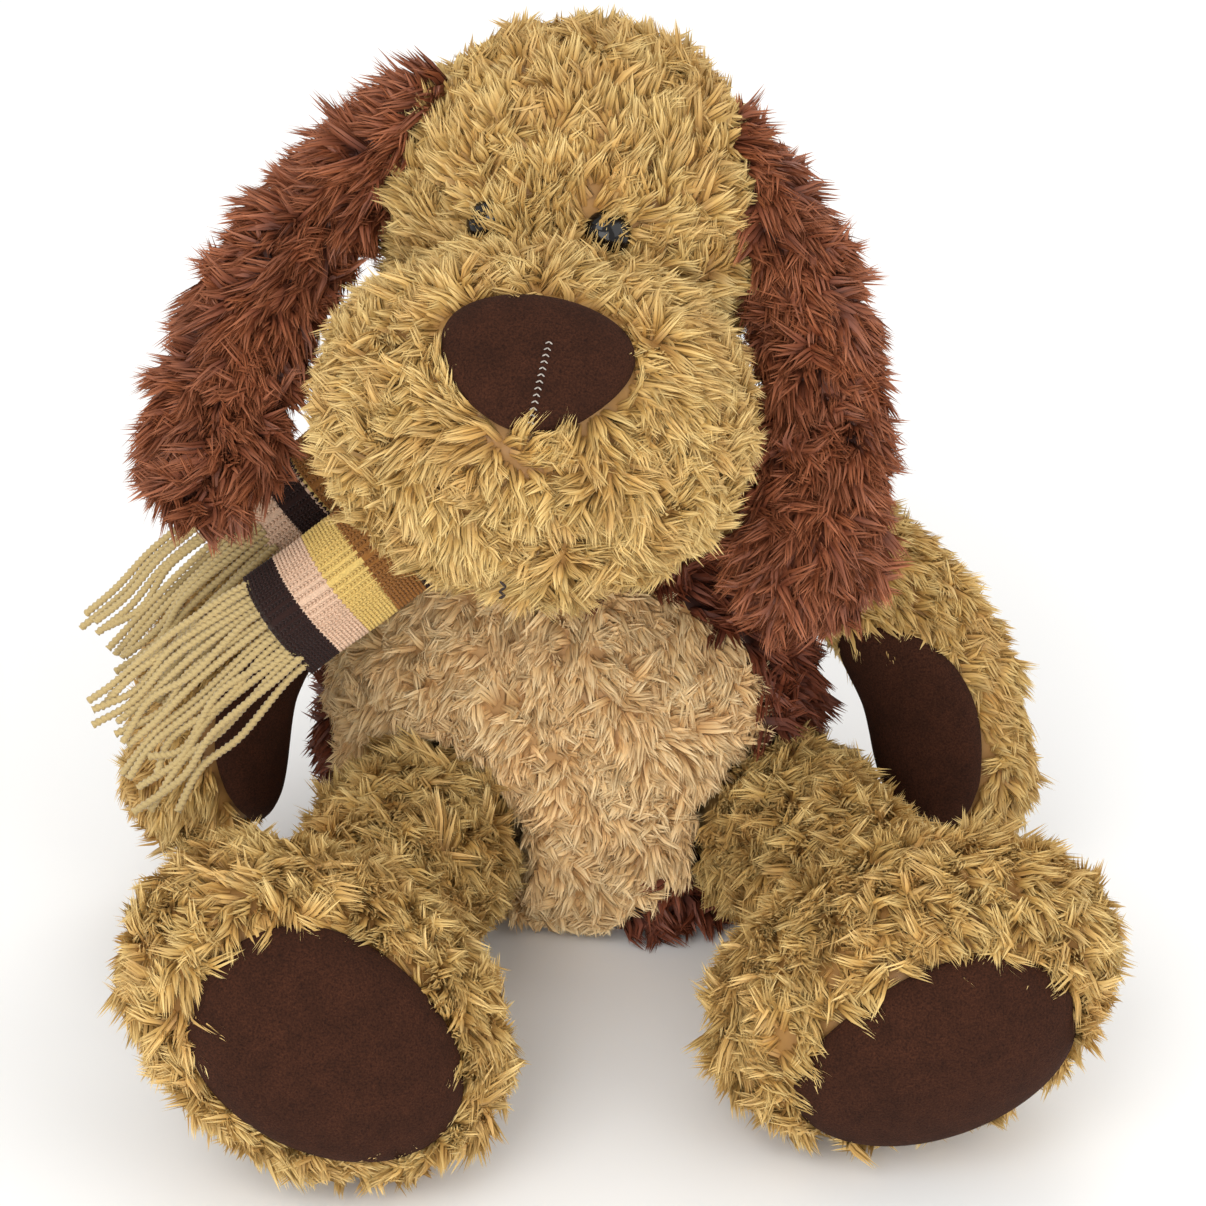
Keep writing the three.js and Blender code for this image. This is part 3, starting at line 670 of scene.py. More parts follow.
def grown(name, backing, density, length, width, lean, comb, keep, seed, curl_size=13.0, wild=0.9):
    """Pile on a backing: locks that lean along a comb direction, swirled in patches, where keep says so."""
    rng = np.random.default_rng(seed)
    places, normals = strewn(backing.data, density, rng)
    kept = (normals[:, 2] > -0.6) | (places[:, 2] > SEAT_HEIGHT * MM)
    kept |= rng.uniform(size=len(places)) < SEAT_PILE
    if keep is not None:
        kept &= keep(places)
    places, normals = places[kept], normals[kept]
    count = len(places)
    flow = unit(comb(places, normals)) + wild * swirl(places, curl_size, seed)
    flow += 0.45 * wild * swirl(places, 4.5, seed + 1)
    flow -= normals * (flow * normals).sum(1, keepdims=True)
    lift = lean + 0.35 * swirl(places, curl_size * 0.8, seed + 2)[:, 0] + 0.12 * rng.normal(size=count)
    under = rng.uniform(size=count) < UNDERCOAT
    lift = np.clip(lift, 0.12, 1.6) + 1.1 * under
    along = unit(unit(flow) + normals * lift[:, None] + 0.12 * rng.normal(size=(count, 3)))
    reach = length * rng.uniform(0.75, 1.15, count) * (1 + 0.15 * swirl(places, 20, seed + 3)[:, 0])
    reach *= 1 - 0.32 * under
    lowest = -(places[:, 2] / MM - 0.8) / reach
    along[:, 2] = np.maximum(along[:, 2], np.maximum(lowest, -1))
    along = unit(along)
    across = width * rng.uniform(0.8, 1.25, count)
    pile = planted(
        name + "_pile", LOCKS, places - normals * 0.6 * MM,
        along_dir=along, facing_dir=-normals + 0.4 * rng.normal(size=(count, 3)),
        size=np.stack([across, across, reach], axis=1) * MM,
        pick=rng.integers(0, len(LOCKS), count),
        tint=np.clip(0.5 + 0.22 * rng.normal(size=count) + 0.12 * swirl(places, 9, seed + 4)[:, 1], 0, 1),
    )
    tips = spots(pile.data)
    tips[:, 2] = np.maximum(tips[:, 2], PILE_FLOOR * MM)
    move_spots(pile.data, tips)
    finished(pile.data, backing.data.materials[0])
    backing.name = name
    # The backing has no along value, so it takes the roots' colour: painted shade under the pile
    return joined(backing, pile)


def along_spine(spine, stray, middle=None):
    """A comb direction that follows a spine, and strays outwards from it or from a middle."""
    heading = unit(np.gradient(spine, axis=0))

    def comb(places, normals):
        nearest = np.argmin(((places[:, None] - spine[None, ::6]) ** 2).sum(2), axis=1) * 6
        return heading[nearest] + stray * unit(places - (spine[nearest] if middle is None else middle))
    return comb


def in_ball(places, matrix, radii, at=(0, 0, 0), inset=0.0):
    """Which places are in an ellipsoid of a matrix's own space."""
    local = through((matrix @ Matrix.Translation(at)).inverted(), places)
    return (np.square(local / (np.array(radii) - inset)).sum(1)) < 1


def in_egg(places, matrix, size, point, inset=0.0):
    """Which places are in front of a matrix's XY plane and in an egg outline on it."""
    local = through(matrix.inverted(), places)
    up = local[:, 1] / (size[1] / 2 - inset)
    half = (size[0] / 2 - inset) * np.sqrt(np.clip(1 - up**2, 0, 1)) * (1 + point * up)
    return (np.abs(up) < 1) & (np.abs(local[:, 0]) < half) & (local[:, 2] > 0)


def deep_in(tree, depth=4.0):
    """Says which places lie deeper than this in a closed form, where pile would only be crushed."""
    def test(places):
        found = np.zeros(len(places), bool)
        for index, place in enumerate(places):
            spot, normal, _, _ = tree.find_nearest(Vector(place))
            found[index] = (Vector(place) - spot).dot(normal) < -depth * MM
        return found
    return test


def dented(piece, matrix, radius, at, inward):
    """Pushes a piece's surface in to the far side of a ball, so that what fills the ball has room."""
    centre = np.array(matrix @ Vector(at))
    places = spots(piece.data)
    heading = np.array(Vector(inward).normalized())
    offset = places - centre
    inside = (offset**2).sum(1) < (radius * MM) ** 2
    ahead = offset @ heading
    depth = -ahead + np.sqrt(np.maximum(ahead**2 - (offset**2).sum(1) + (radius * MM) ** 2, 0))
    places[inside] += heading * depth[inside, None]
    move_spots(piece.data, places)


# ---- Felt patches ----
def felt_patch(name, form, matrix, size, point, bend=None, rows=24):
    """A felt patch with an egg outline, laid on a form: crowned, and drawn down where its edge is sewn in.

    A patch that wraps round a limb bends about the matrix's Y axis, at the limb's radius.
    """
    surface = BVHTree.FromBMesh(form)
    form.free()
    patch = bmesh.new()
    bmesh.ops.create_grid(patch, x_segments=rows, y_segments=rows, size=1)
    facing = (matrix.to_3x3() @ UP).normalized()
    for vert in patch.verts:
        x, y = vert.co.x, vert.co.y
        x, y = x * math.sqrt(1 - y * y / 2), y * math.sqrt(1 - x * x / 2)
        edge = math.hypot(x, y)
        x, y = x * size[0] / 2 * (1 + point * y), y * size[1] / 2
        turn = x / bend if bend else 0
        towards = Vector((math.sin(turn), 0, math.cos(turn)))
        spot = Vector((0 if bend else x, y, 0)) + towards * 90
        hit, normal, _, _ = surface.ray_cast(matrix @ spot, -(matrix.to_3x3() @ towards).normalized())
        if hit is None:
            hit, normal, _, _ = surface.find_nearest(matrix @ spot)
        vert.co = hit + normal * (FELT_RISE * (1 - edge**10) - 0.8 * edge**10) * MM
    piece = made(name, patch, DARK_FELT)
    settled(piece, ("SOLIDIFY", {"thickness": 1.6 * MM, "offset": -1}),
            ("SUBSURF", {"levels": 1, "render_levels": 1}))
    facing_out = sum((face.normal for face in list(piece.data.polygons)[:rows * rows]), Vector()).dot(facing)
    if facing_out < 0:
        piece.data.flip_normals()
    piece.data.shade_smooth()
    return piece


def done(piece, body, slot, *nodes):
    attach(piece, body)
    if nodes:
        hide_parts(*nodes)
    return piece


def done_plush(piece, body, slot, *nodes):
    return done(piece, body, slot, *nodes)


set_up_studio()

# ---- Head and muzzle ----
face_middle = np.array(HEAD @ Vector((0, -52, 62)))
neck_world = np.array(TOY @ NECK_AT)


def on_muzzle(lift):
    """The place and direction of the muzzle's surface on its middle line, lift degrees above its front."""
    turn = math.radians(lift)
    at = Vector((0, -MUZZLE[1] * math.cos(turn), MUZZLE[2] * math.sin(turn))) + MUZZLE_AT
    facing = Vector((0, -math.cos(turn) / MUZZLE[1], math.sin(turn) / MUZZLE[2])).normalized()
    return at, facing


nose_at, nose_facing = on_muzzle(NOSE_LIFT)
NOSE = HEAD @ aimed(nose_at - nose_facing * 20 + Vector((2, 0, 0)), nose_facing, UP)

EYES = {}
for side, out in SIDES:
    x = out * EYE_SPACING / 2 - 3.5
    rise = EYE_RISE - (3 if out < 0 else 0.5)
    inward = 1 - (x / CRANIUM[0]) ** 2 - (rise / CRANIUM[2]) ** 2
    at = Vector((x, -CRANIUM[1] * math.sqrt(inward), rise))
    facing = Vector([at[k] / CRANIUM[k] ** 2 for k in range(3)])
    EYES[side] = HEAD @ aimed(at + CRANIUM_AT, facing, UP)


def away_from(middle):
    return lambda places, normals: unit(places - middle)


def keep_head(places):
    kept = ~in_ball(places, HEAD, MUZZLE, MUZZLE_AT, 3)
    kept &= ~in_ball(places, HEAD, [NECK_RADIUS + 2] * 3)
    for side, _ in SIDES:
        kept &= ~in_ball(places, EYES[side], [EYE_RADIUS * 0.32] * 3)
    return kept


def keep_muzzle(places):
    kept = ~in_ball(places, HEAD, CRANIUM, CRANIUM_AT, 4)
    return kept & ~in_egg(places, NOSE, NOSE_SIZE, NOSE_POINT, 0.6)


head = stuffed("head_plush", [ball_form(HEAD, CRANIUM, CRANIUM_AT, BACKING)], TAN, swell=0)
head = grown("head_plush", head, *PILE["head"], away_from(face_middle), keep_head, 11)
done_plush(head, "head", "tan_plush", "head_skin")

muzzle = stuffed("muzzle_plush", [ball_form(HEAD, MUZZLE, MUZZLE_AT, BACKING)], TAN, swell=0)
from_nose = away_from(np.array(NOSE.translation))
muzzle = grown("muzzle_plush", muzzle, *PILE["muzzle"], from_nose, keep_muzzle, 12)
done_plush(muzzle, "head", "tan_plush", "muzzle_skin")

nose = felt_patch("nose_felt", ball_form(HEAD, MUZZLE, MUZZLE_AT), NOSE, NOSE_SIZE, NOSE_POINT)
done(nose, "head", "dark_felt", "nose_patch")

for side, _ in SIDES:
    dome = bmesh.new()
    bmesh.ops.create_uvsphere(dome, u_segments=32, v_segments=16, radius=EYE_RADIUS)
    bmesh.ops.bisect_plane(dome, geom=dome.verts[:] + dome.edges[:] + dome.faces[:], plane_co=(0, 0, 0),
                           plane_no=(0, 0, -1), clear_outer=True)
    bmesh.ops.scale(dome, verts=dome.verts, vec=(1, 1, 0.7))
    rim = [edge for edge in dome.edges if edge.is_boundary]
    back = bmesh.ops.contextual_create(dome, geom=rim)["faces"]
    bmesh.ops.inset_region(dome, faces=back, thickness=EYE_RADIUS - SHANK_RADIUS)
    shank = bmesh.ops.extrude_face_region(dome, geom=back)["geom"]
    bmesh.ops.translate(dome, verts=[v for v in shank if isinstance(v, bmesh.types.BMVert)],
                        vec=(0, 0, 1 - SHANK_LENGTH))
    bmesh.ops.delete(dome, geom=[f for f in back if f.is_valid], context="FACES_ONLY")
    bmesh.ops.recalc_face_normals(dome, faces=dome.faces)
    bmesh.ops.transform(dome, matrix=EYES[side] @ Matrix.Translation((0, 0, EYE_SUNK)), verts=dome.verts)
    eye = made(f"eye_dome_{side}", dome, GLOSS)
    done(eye, "head", "gloss_black", f"eye_{side}")

# ---- Ears ----
for side, out in SIDES:
    root = EAR_ROOT.copy()
    root.x *= out
    hang = []
    for share in (0, 0.3, 0.65, 1):
        fall = Vector((out * 0.33, -0.42, -0.86)) * share * (EAR_LENGTH - EAR_WIDTHS[1] / 2)
        fall += Vector((out * 12, 6, 0)) * math.sin(math.pi * share)
        hang.append(Matrix.Rotation(math.radians(-out * EAR_SPLAY[side]), 3, "Y") @ fall + root)
    facing = Vector((out * 0.45, -0.85, 0.25))
    flap = tube_form(HEAD, hang, EAR_WIDTHS, (EAR_THICKNESS, EAR_THICKNESS), facing, BACKING)
    backing = stuffed(f"ear_{side}_flap", [flap], EAR, voxel=3.0, swell=1.5)
    spine = through(HEAD, smooth_path(hang))
    halfway = len(spine) // 2
    middle = Vector(spine[halfway])
    downward = Vector(unit(np.gradient(spine, axis=0))[halfway])
    broad = downward.cross(HEAD.to_3x3() @ facing).cross(downward).normalized()

    def keep_ear(places):
        kept = ~in_ball(places, HEAD, CRANIUM, CRANIUM_AT, 2)
        return kept & ~in_ball(places, HEAD, MUZZLE, MUZZLE_AT, 2)

    for half, towards in (("outer", 1), ("lining", -1)):
        form = bmesh.new()
        form.from_mesh(backing.data)
        bmesh.ops.bisect_plane(form, geom=form.verts[:] + form.edges[:] + form.faces[:], plane_co=middle,
                               plane_no=-broad * towards, clear_outer=True)
        skin = made(f"ear_{side}_{half}_skin", form, EAR)
        seed = 20 + (half == "lining") + 2 * (side == "right")
        ear = grown(f"ear_{side}_{half}_plush", skin, *PILE["ear"], along_spine(spine, 0.75), keep_ear,
                    seed, 12, 0.7)
        done_plush(ear, f"ear_{side}", "ear_plush", f"ear_{side}_{half}")
    bpy.data.objects.remove(backing)

# ---- Limbs' places, and the torso ----
BIB = TOY @ aimed(on_torso(BIB_SHIFT, -8, BIB_SIZE[1] / 2 + BIB_RISE),
                  (math.sin(math.radians(TORSO_YAW)), -1, 0), UP)
shoulders = {side: Vector((TORSO_AT.x + out * SHOULDER_SPACING / 2, SHOULDER_Y, SHOULDER_HEIGHT))
             for side, out in SIDES}
tail_root = on_torso(0, TORSO_SIZE[1] / 2 - 5, 34)
torso_middle = on_torso(0, 0, 60)

arm_tubes, thigh_tubes, foot_frames = {}, {}, {}
for side, out in SIDES:
    root = shoulders[side]
    x, y, z = ARM_REACH[side]
    points = [root + Vector(step) for step in (
        (0, 0, 0), (x * 0.45 * out, y * 0.1, z * 0.12), (x * 0.85 * out, y * 0.5, z * 0.52), (x * out, y, z),
    )]
    sizes = (2 * SHOULDER_RADIUS, 2 * PAW_RADIUS)
    arm_tubes[side] = (points, sizes, sizes, (-0.4 * out, -0.85, 0.25))
    leg = LEGS[side]
    turn = aimed((0, 0, 0), leg["facing"], leg["toe"])
    rise = math.sqrt(sum((turn[2][k] * FOOT[k]) ** 2 for k in range(3)))
    foot_at = Vector((*leg["at"], rise))
    foot_frames[side] = TOY @ Matrix.Translation(foot_at) @ turn
    root = HIPS[side]
    sizes = (2 * HIP_RADIUS, 2 * HIP_RADIUS + 2)
    points = [root, root.lerp(foot_at, 0.4) + Vector((0, 0, 2)), root.lerp(foot_at, 0.8)]
    thigh_tubes[side] = (points, sizes, sizes, UP)

limb_forms = [tube_form(TOY, *tube) for tube in (*arm_tubes.values(), *thigh_tubes.values())]
in_limbs = [deep_in(BVHTree.FromBMesh(form)) for form in limb_forms]
in_torso = deep_in(BVHTree.FromBMesh(torso_form()))

trunk = stuffed("torso_backing", [torso_form(BACKING)], BROWN, voxel=3.5, swell=2)
for side, out in SIDES:
    dented(trunk, TOY, SHOULDER_RADIUS + 3, shoulders[side], (-out, 0.2, -0.4))
    dented(trunk, TOY, HIP_RADIUS + 5, HIPS[side], (-out * 0.6, 1, 0.3))
dented(trunk, TOY, NECK_RADIUS + 1, NECK_AT, (0, 0, -1))
dented(trunk, TOY, TAIL_RADIUS + 3, tail_root, torso_middle - tail_root)


def downwards(places, normals):
    return np.tile((0.0, 0.0, -1.0), (len(places), 1)) + 0.5 * unit(places - np.array(TOY @ torso_middle))


def free_of_limbs(places):
    free = (places[:, 2] > 1.5 * MM) & ~in_ball(places, TOY, [NECK_RADIUS] * 3, NECK_AT)
    for test in in_limbs:
        free &= ~test(places)
    return free


def halved(piece, name, inside, material):
    """The faces of a piece whose middles are, or aren't, in the bib's outline."""
    form = bmesh.new()
    form.from_mesh(piece.data)
    middles = np.array([face.calc_center_median() for face in form.faces])
    form.faces.ensure_lookup_table()
    drop = in_egg(middles, BIB, BIB_SIZE, BIB_POINT) != inside
    bmesh.ops.delete(form, geom=[form.faces[k] for k in np.flatnonzero(drop)], context="FACES")
    return made(name, form, material)


belly = halved(trunk, "belly_skin", True, CREAM)
belly = grown("belly_plush", belly, *PILE["belly"], downwards, free_of_limbs, 31, 15, 1.1)
done_plush(belly, "torso", "cream_plush", "belly_panel")
back = halved(trunk, "back_skin", False, BROWN)
back = grown("torso_back_plush", back, *PILE["back"], downwards, free_of_limbs, 32)
done_plush(back, "torso", "brown_plush", "torso_back_skin")
bpy.data.objects.remove(trunk)

collar = stuffed("neck_skin_form", [ball_form(TOY, [NECK_RADIUS] * 3, NECK_AT, BACKING, 4)], BROWN, 3.5, 0)
collar = grown("neck_plush", collar, *PILE["neck"], downwards,
               lambda places: np.abs(places[:, 2] - neck_world[2]) < 17 * MM, 33)
done_plush(collar, "neck", "brown_plush", "neck_skin")

# ---- Arms ----
for side, out in SIDES:
    points = arm_tubes[side][0]
    x, y, z = ARM_REACH[side]
    pad_at = points[0] + Vector((x * 0.84 * out, y * 0.7, z * 0.74))
    PAD = TOY @ aimed(pad_at, PAD_FACING[side], (x * -out, y, -z))
    comb = along_spine(through(TOY, smooth_path(points)), 0.3)

    def keep_arm(places):
        return ~in_egg(places, PAD, PAD_SIZE, PAD_POINT, 1.6) & ~in_torso(places)

    arm = stuffed(f"arm_{side}_skin_form", [tube_form(TOY, *arm_tubes[side], BACKING)], TAN, swell=2)
    arm = grown(f"arm_{side}_plush", arm, *PILE["arm"], comb, keep_arm, 41 + (out > 0))
    done_plush(arm, f"arm_{side}", "tan_plush", f"arm_{side}_skin")
    pad = felt_patch(f"paw_felt_{side}", tube_form(TOY, *arm_tubes[side]), PAD, PAD_FELT, PAD_POINT,
                     PAW_RADIUS - 1)
    done(pad, f"arm_{side}", "dark_felt", f"paw_pad_{side}")

# ---- Legs ----
for side, out in SIDES:
    FRAME = foot_frames[side]
    spine = through(TOY, smooth_path([*thigh_tubes[side][0], TOY.inverted() @ FRAME.translation]))
    comb = along_spine(spine, 0.5, np.array(FRAME.translation))

    def keep_leg(places):
        return ~in_egg(places, FRAME, SOLE_SIZE, SOLE_POINT, 1.8) & ~in_torso(places)

    leg = stuffed(f"leg_{side}_skin_form", [
        tube_form(TOY, *thigh_tubes[side], BACKING), ball_form(FRAME, FOOT, inset=BACKING),
    ], TAN, swell=2)
    leg = grown(f"leg_{side}_plush", leg, *PILE["leg"], comb, keep_leg, 51 + (out > 0))
    done_plush(leg, f"leg_{side}", "tan_plush", f"leg_{side}_skin")
    sole = felt_patch(f"sole_felt_{side}", ball_form(FRAME, FOOT), FRAME, SOLE_SIZE, SOLE_POINT)
    done(sole, f"leg_{side}", "dark_felt", f"sole_{side}")

# ---- Tail ----
points = [tail_root + Vector((x, back_by * TAIL_LENGTH, up * TAIL_LENGTH))
          for x, back_by, up in ((0, 0, 0), (2, 0.3, 0.12), (4, 0.62, 0.42))]
sizes = (2 * TAIL_RADIUS, 2 * TAIL_RADIUS - 4)
tail = stuffed("tail_skin_form", [tube_form(TOY, points, sizes, sizes, UP, BACKING)], BROWN, 3.0, 1)
tail = grown("tail_plush", tail, *PILE["tail"],
             lambda places, normals: np.tile((0.0, 0.8, 0.3), (len(places), 1)), None, 61)
done_plush(tail, "tail", "brown_plush", "tail_skin")

# ---- Scarf ----
STITCH = 1.25
STRIPES = {"dark": 0.0, "pink": 0.25, "gold": 0.5, "bronze": 0.75}


def stitch_form():
    """One knitted stitch, a V of two slim loops, one unit high along +Z and facing +Y."""
    form = bmesh.new()
    for out in (-1, 1):
        leg = bmesh.ops.create_uvsphere(form, u_segments=4, v_segments=2, radius=0.5)["verts"]
        bmesh.ops.scale(form, verts=leg, vec=(0.62, 0.62, 1.35))
        bmesh.ops.rotate(form, verts=leg, cent=(0, 0, 0), matrix=Matrix.Rotation(out * 0.48, 3, "Y"))
        bmesh.ops.translate(form, verts=leg, vec=(out * 0.25, 0, 0))
    return form


def striped(colours, width, run):
    """Each distance's place in the colours, which follow one another every width millimetres."""
    index = np.floor(np.asarray(run) / width).astype(int) % len(colours)
    return np.array([STRIPES[colour] for colour in colours])[index]


def knitted(name, surface, around, along, stripe_at, shown=None):
    """Knitted cloth over a surface of (u, v) from 0 to 1: its backing, and the stitches that stand on it."""
    form = bmesh.new()
    bmesh.ops.create_grid(form, x_segments=max(24, around // 2), y_segments=max(12, along // 2), size=0.5)
    grid = np.array([vert.co[:2] for vert in form.verts]) + 0.5
    places = surface(grid[:, 0], grid[:, 1])
    for vert, place in zip(form.verts, places):
        vert.co = place
    backing = made(name, form, KNIT)
    layer = backing.data.attributes.new("stripe", "FLOAT", "POINT")
    layer.data.foreach_set("value", stripe_at(grid[:, 0], grid[:, 1]))
    form = bmesh.new()
    form.from_mesh(backing.data)
    bmesh.ops.remove_doubles(form, verts=form.verts, dist=0.02 * MM)
    bmesh.ops.recalc_face_normals(form, faces=form.faces)
    form.to_mesh(backing.data)
    form.free()
    u, v = (axis.ravel() for axis in np.meshgrid(
        (np.arange(around) + 0.5) / around, (np.arange(along) + 0.5) / along))
    middle = surface(u, v)
    wale = unit(surface(u, v + 0.004) - surface(u, v - 0.004))
    course = unit(surface(u + 0.004, v) - surface(u - 0.004, v))
    normal = unit(np.cross(wale, course))
    outwards = np.sign((normal * (middle - middle.mean(0))).sum())
    normal *= outwards
    rng = np.random.default_rng(len(name) + around)
    if shown is not None:
        seen = shown(u, v)
        u, v, middle, wale, normal = (rows[seen] for rows in (u, v, middle, wale, normal))
    gauge = STITCH * (1 + 0.05 * rng.normal(size=(len(u), 1)))
    stitches = planted(
        name + "_stitches", [stitch_form()], middle + normal * 0.1 * MM,
        along_dir=wale, facing_dir=normal, size=np.tile((1.0, 0.9, 1.0), (len(u), 1)) * gauge * MM,
        pick=np.zeros(len(u)), stripe=stripe_at(u, v),
    )
    finished(stitches.data, KNIT)
    return backing, stitches


def yarn_form(length, radius=1.25, lay=3.2):
    """Straight two-ply yarn from the origin along +Z: a waisted section that turns as it goes."""
    form = bmesh.new()
    ring = bmesh.ops.create_circle(form, cap_ends=False, segments=8, radius=radius)["verts"]
    for vert in ring:
        waist = abs(vert.co.y) / radius
        vert.co *= 1 - 0.36 * waist**2
    edges = form.edges[:]
    turns = length / lay
    steps = int(turns * 7)
    bmesh.ops.spin(form, geom=ring + edges, cent=(0, 0, 0), axis=(0, 0, 1), dvec=(0, 0, length / steps),
                   angle=turns * 2 * math.pi, steps=steps)
    rims = [edge for edge in form.edges if edge.is_boundary]
    bmesh.ops.holes_fill(form, edges=rims, sides=8)
    bmesh.ops.recalc_face_normals(form, faces=form.faces)
    return form


def bent(form, path, length):
    """A straight form on +Z laid along a path."""
    tangents = unit(np.gradient(path, axis=0))
    side = unit(np.cross(tangents, (0.3, 0.5, 0.2)))
    front = np.cross(tangents, side)
    for vert in form.verts:
        spot = min(max(vert.co.z / length, 0), 1) * (len(path) - 1)
        k = min(int(spot), len(path) - 2)
        t = spot - k
        middle = path[k] * (1 - t) + path[k + 1] * t
        vert.co = Vector(middle + side[k] * vert.co.x + front[k] * vert.co.y)
    return form


def fringe_piece(name, end, seed):
    rng = np.random.default_rng(seed)
    along, droop = (Vector(end[key]).normalized() for key in ("along", "droop"))
    place = aimed(Vector(end["root"]) + along * (end["length"] - 1), end["facing"], -along)
    across = (place.to_3x3() @ Vector((1, 0, 0))).normalized()
    facing = (place.to_3x3() @ UP).normalized()
    whole = bpy.data.meshes.new(name)
    form = bmesh.new()
    for strand in range(FRINGE_YARNS):
        share = (strand + 0.5) / FRINGE_YARNS * 2 - 1
        start = place.translation + across * share * (SCARF_WIDTH / 2 - 1.5) + facing * rng.uniform(-1.2, 1.2)
        long = FRINGE_LENGTH * rng.uniform(1.1, 1.3)
        fan = across * share * SCARF_WIDTH / 2 * (FRINGE_SPREAD - 1)
        wander = Vector(rng.normal(size=3)) * 2.2
        points = [start, start + along * 9 + fan * 0.2, start + (along * 0.65 + droop * 0.35) * long * 0.5
                  + fan * 0.5 + wander * 0.6, start + (along * 0.52 + droop * 0.48) * long * 0.78 + fan * 0.7
                  - wander * 0.3, start + (along * 0.42 + droop * 0.58) * long + fan * 0.9 + wander]
        path = smooth_path(points)
        length = float(np.linalg.norm(np.diff(path, axis=0), axis=1).sum())
        strand_form = bent(yarn_form(length), path, length)
        strand_form.to_mesh(whole)
        strand_form.free()
        form.from_mesh(whole)
    bpy.data.meshes.remove(whole)
    bmesh.ops.transform(form, matrix=TOY, verts=form.verts)
    return made(name, form, YARN)


for index, (end_name, end) in enumerate(SCARF_TAILS.items()):
    frame_here = TOY @ aimed(Vector(end["root"]), end["facing"], -Vector(end["along"]))
    extra = TUCKED_IN[end_name]
    length = end["length"] + extra
    front = end_name == "front"
    colours = ("dark", "pink", "gold", "bronze") if front else ("pink", "dark", "bronze", "gold")

    def tail_surface(u, v, here=frame_here, long=length, start=extra):
        turn = 2 * math.pi * u
        close = np.sqrt(np.clip(1 - np.clip((np.abs(v - 0.5) - 0.43) / 0.07, 0, 1) ** 2, 0, 1))
        x = SCARF_WIDTH / 2 * np.sign(np.cos(turn)) * np.abs(np.cos(turn)) ** 0.8
        z = (SCARF_THICKNESS / 2 + 0.4) * np.sign(np.sin(turn)) * np.abs(np.sin(turn)) ** 0.7 * close
        crown = 3.6 * (1 - (x / (SCARF_WIDTH / 2)) ** 2) * (0.6 + 0.4 * v)
        ripple = 0.5 * np.sin(9 * v + 2 * x / SCARF_WIDTH)
        sweep = 2.2 * (1 - (x / (SCARF_WIDTH / 2)) ** 2) * v
        return through(here, np.stack([x, start - v * long - sweep, z + crown - 2.0 + ripple], axis=1))

    def tail_stripe(u, v, long=length, names=colours):
        return striped(names, 10.0, (1 - v) * long)

    around = int(2 * (SCARF_WIDTH + SCARF_THICKNESS) / STITCH * 0.95)
    cloth, stitches = knitted(f"scarf_tail_{end_name}_knit", tail_surface, around, int(length / 1.1),
                              tail_stripe)
    fringe = fringe_piece(f"scarf_fringe_{end_name}_yarn", end, 70 + index)
    body = f"scarf_{end_name}"
    done(cloth, body, "scarf_knit", f"scarf_tail_{end_name}")
    done(stitches, body, "scarf_knit")
    done(fringe, body, "fringe_yarn", f"scarf_fringe_{end_name}")


def wrap_surface(u, v):
    turn, around = 2 * math.pi * u, 2 * math.pi * v
    fold = 1.1 * np.sin(2 * turn + 3 * around) + 0.7 * np.sin(3 * turn - 5 * around)
    radius = SCARF_RADIUS + (SCARF_ROLL[0] + fold) * np.cos(turn)
    height = (SCARF_ROLL[1] + fold) * np.sin(turn)
    ring = np.stack([radius * np.cos(around), radius * np.sin(around), height], axis=1)
    tilt = Matrix.Rotation(math.radians(SCARF_TILT), 4, "X")
    return through(TOY @ Matrix.Translation((TORSO_AT.x, TORSO_AT.y, SCARF_HEIGHT)) @ tilt, ring)


cloth, stitches = knitted(
    "scarf_wrap_knit", wrap_surface, int(math.pi * sum(SCARF_ROLL) / STITCH),
    int(2 * math.pi * SCARF_RADIUS / STITCH),
    lambda u, v: striped(("gold", "bronze", "dark", "pink"), 11.0, v * 2 * math.pi * SCARF_RADIUS + 4),
    shown=lambda u, v: np.cos(2 * math.pi * u) > -0.25)
done(cloth, "torso", "scarf_knit", "scarf_neck_wrap")
done(stitches, "torso", "scarf_knit")


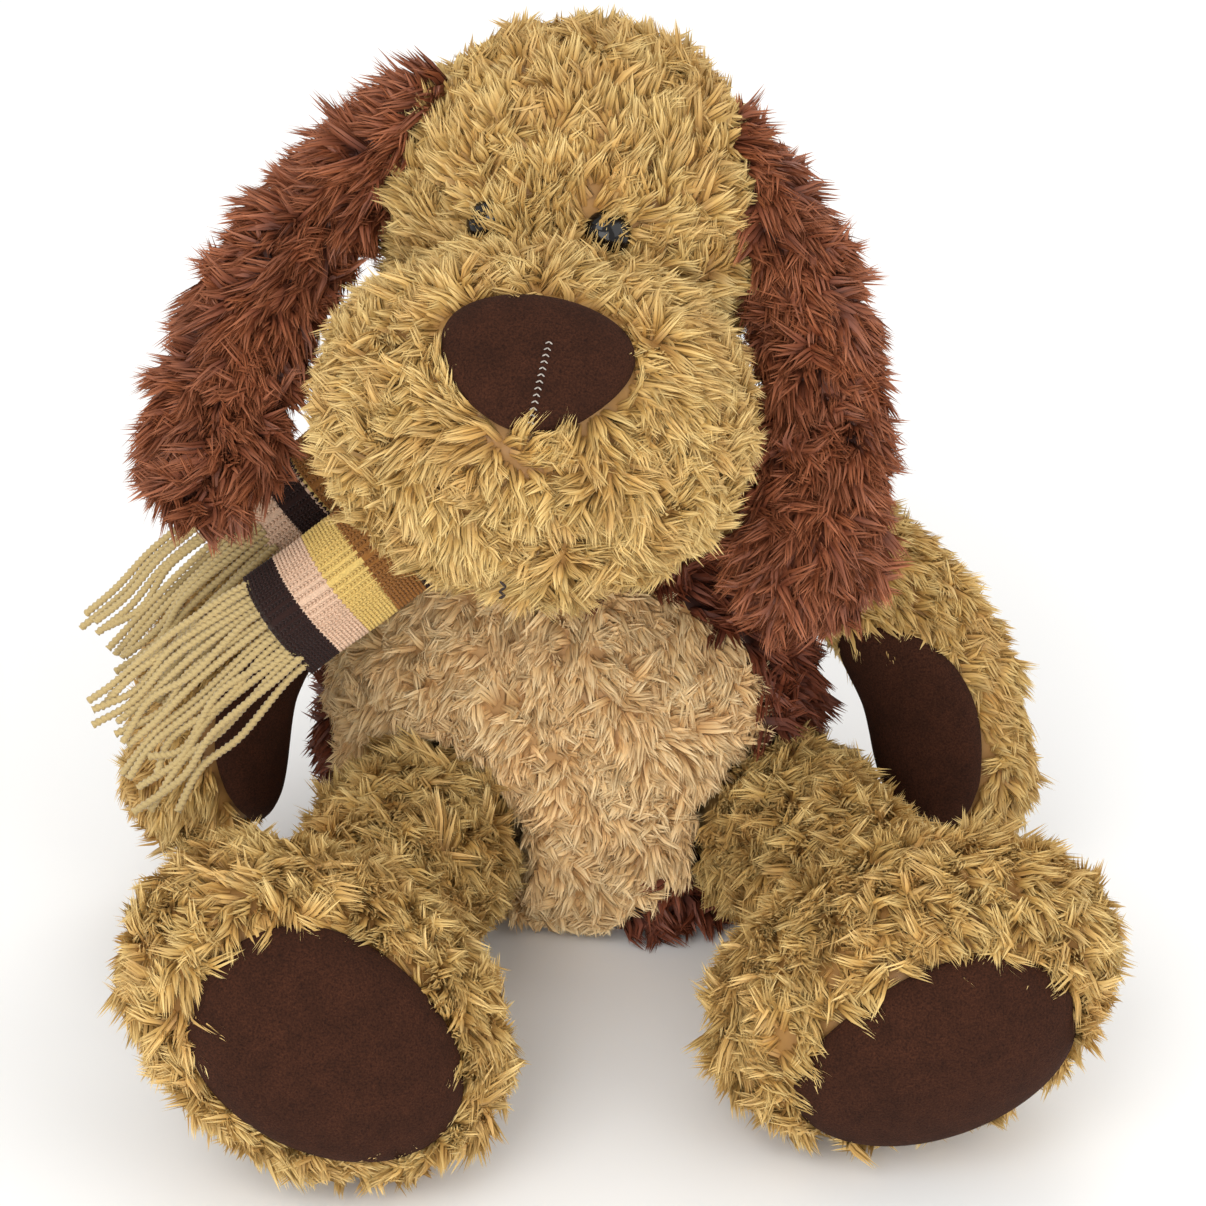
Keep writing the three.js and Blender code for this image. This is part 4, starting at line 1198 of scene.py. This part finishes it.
def knot_surface(u, v):
    turn, up = 2 * math.pi * u, math.pi * (0.02 + 0.96 * v)
    fold = 1 + 0.10 * np.sin(3 * turn + 2 * up)
    knot = np.stack([KNOT[0] * np.sin(up) * np.cos(turn) * fold, KNOT[1] * np.sin(up) * np.sin(turn) * fold,
                     -KNOT[2] * np.cos(up)], axis=1)
    return through(TOY @ Matrix.Translation(KNOT_AT) @ Matrix.Rotation(0.9, 4, "Y"), knot)


cloth, stitches = knitted("scarf_knot_knit", knot_surface, 44, 30,
                          lambda u, v: striped(("bronze", "dark", "gold"), 9.0, v * 34))
done(cloth, "torso", "scarf_knit", "scarf_knot")
done(stitches, "torso", "scarf_knit")

# ---- Thread on the nose and mouth ----
def stitched(name, lifts, rise, slant, long, thick, material, apart=0.0):
    """A row of short thread stitches down the middle of the muzzle."""
    form = bmesh.new()
    for index, lift in enumerate(lifts):
        at, facing = on_muzzle(lift)
        at = at + facing * rise + Vector((0.06 * (lift - NOSE_LIFT) + 5, 0, 0))
        for out in ((-1, 1) if apart else (1,)):
            bar = bmesh.ops.create_uvsphere(form, u_segments=8, v_segments=8, radius=1)["verts"]
            lean = slant * (out if apart else (-1) ** index)
            shape = (Matrix.Translation((out * apart, 0, 0)) @ Matrix.Rotation(lean, 4, "Z")
                     @ Matrix.Diagonal((thick, long / 2, thick * 0.8, 1)))
            bmesh.ops.transform(form, matrix=HEAD @ aimed(at, facing, UP) @ shape, verts=bar)
    return made(name, form, material)


seam = stitched("nose_seam_thread", np.linspace(NOSE_LIFT + 4, NOSE_LIFT - 20, 13), FELT_RISE + 0.3,
                0.95, 1.3, 0.2, THREAD, 0.42)
done(seam, "head", "seam_thread", "nose_seam")
mouth = stitched("mouth_thread", np.linspace(MOUTH_LIFT + 5, MOUTH_LIFT - 5, 4), 3.4,
                 0.5, 3.6, 0.45, DARK_THREAD)
done(mouth, "head", "seam_thread", "mouth_stitch")

# ---- Inside ----
INNER = {"stuffing": FIBRE, "pellet_bag": PELLETS, "washer": WASHER}
for name, node in frame["nodes"].items():
    for word, material in INNER.items():
        if word in name:
            node.data.materials.clear()
            node.data.materials.append(material)

# ---- Floor ----
floor_form = bmesh.new()
bmesh.ops.create_grid(floor_form, x_segments=1, y_segments=1, size=20)
floor = made("floor", floor_form, plain("pale_floor", (240, 240, 240), (244, 244, 243), 900, 0.9))
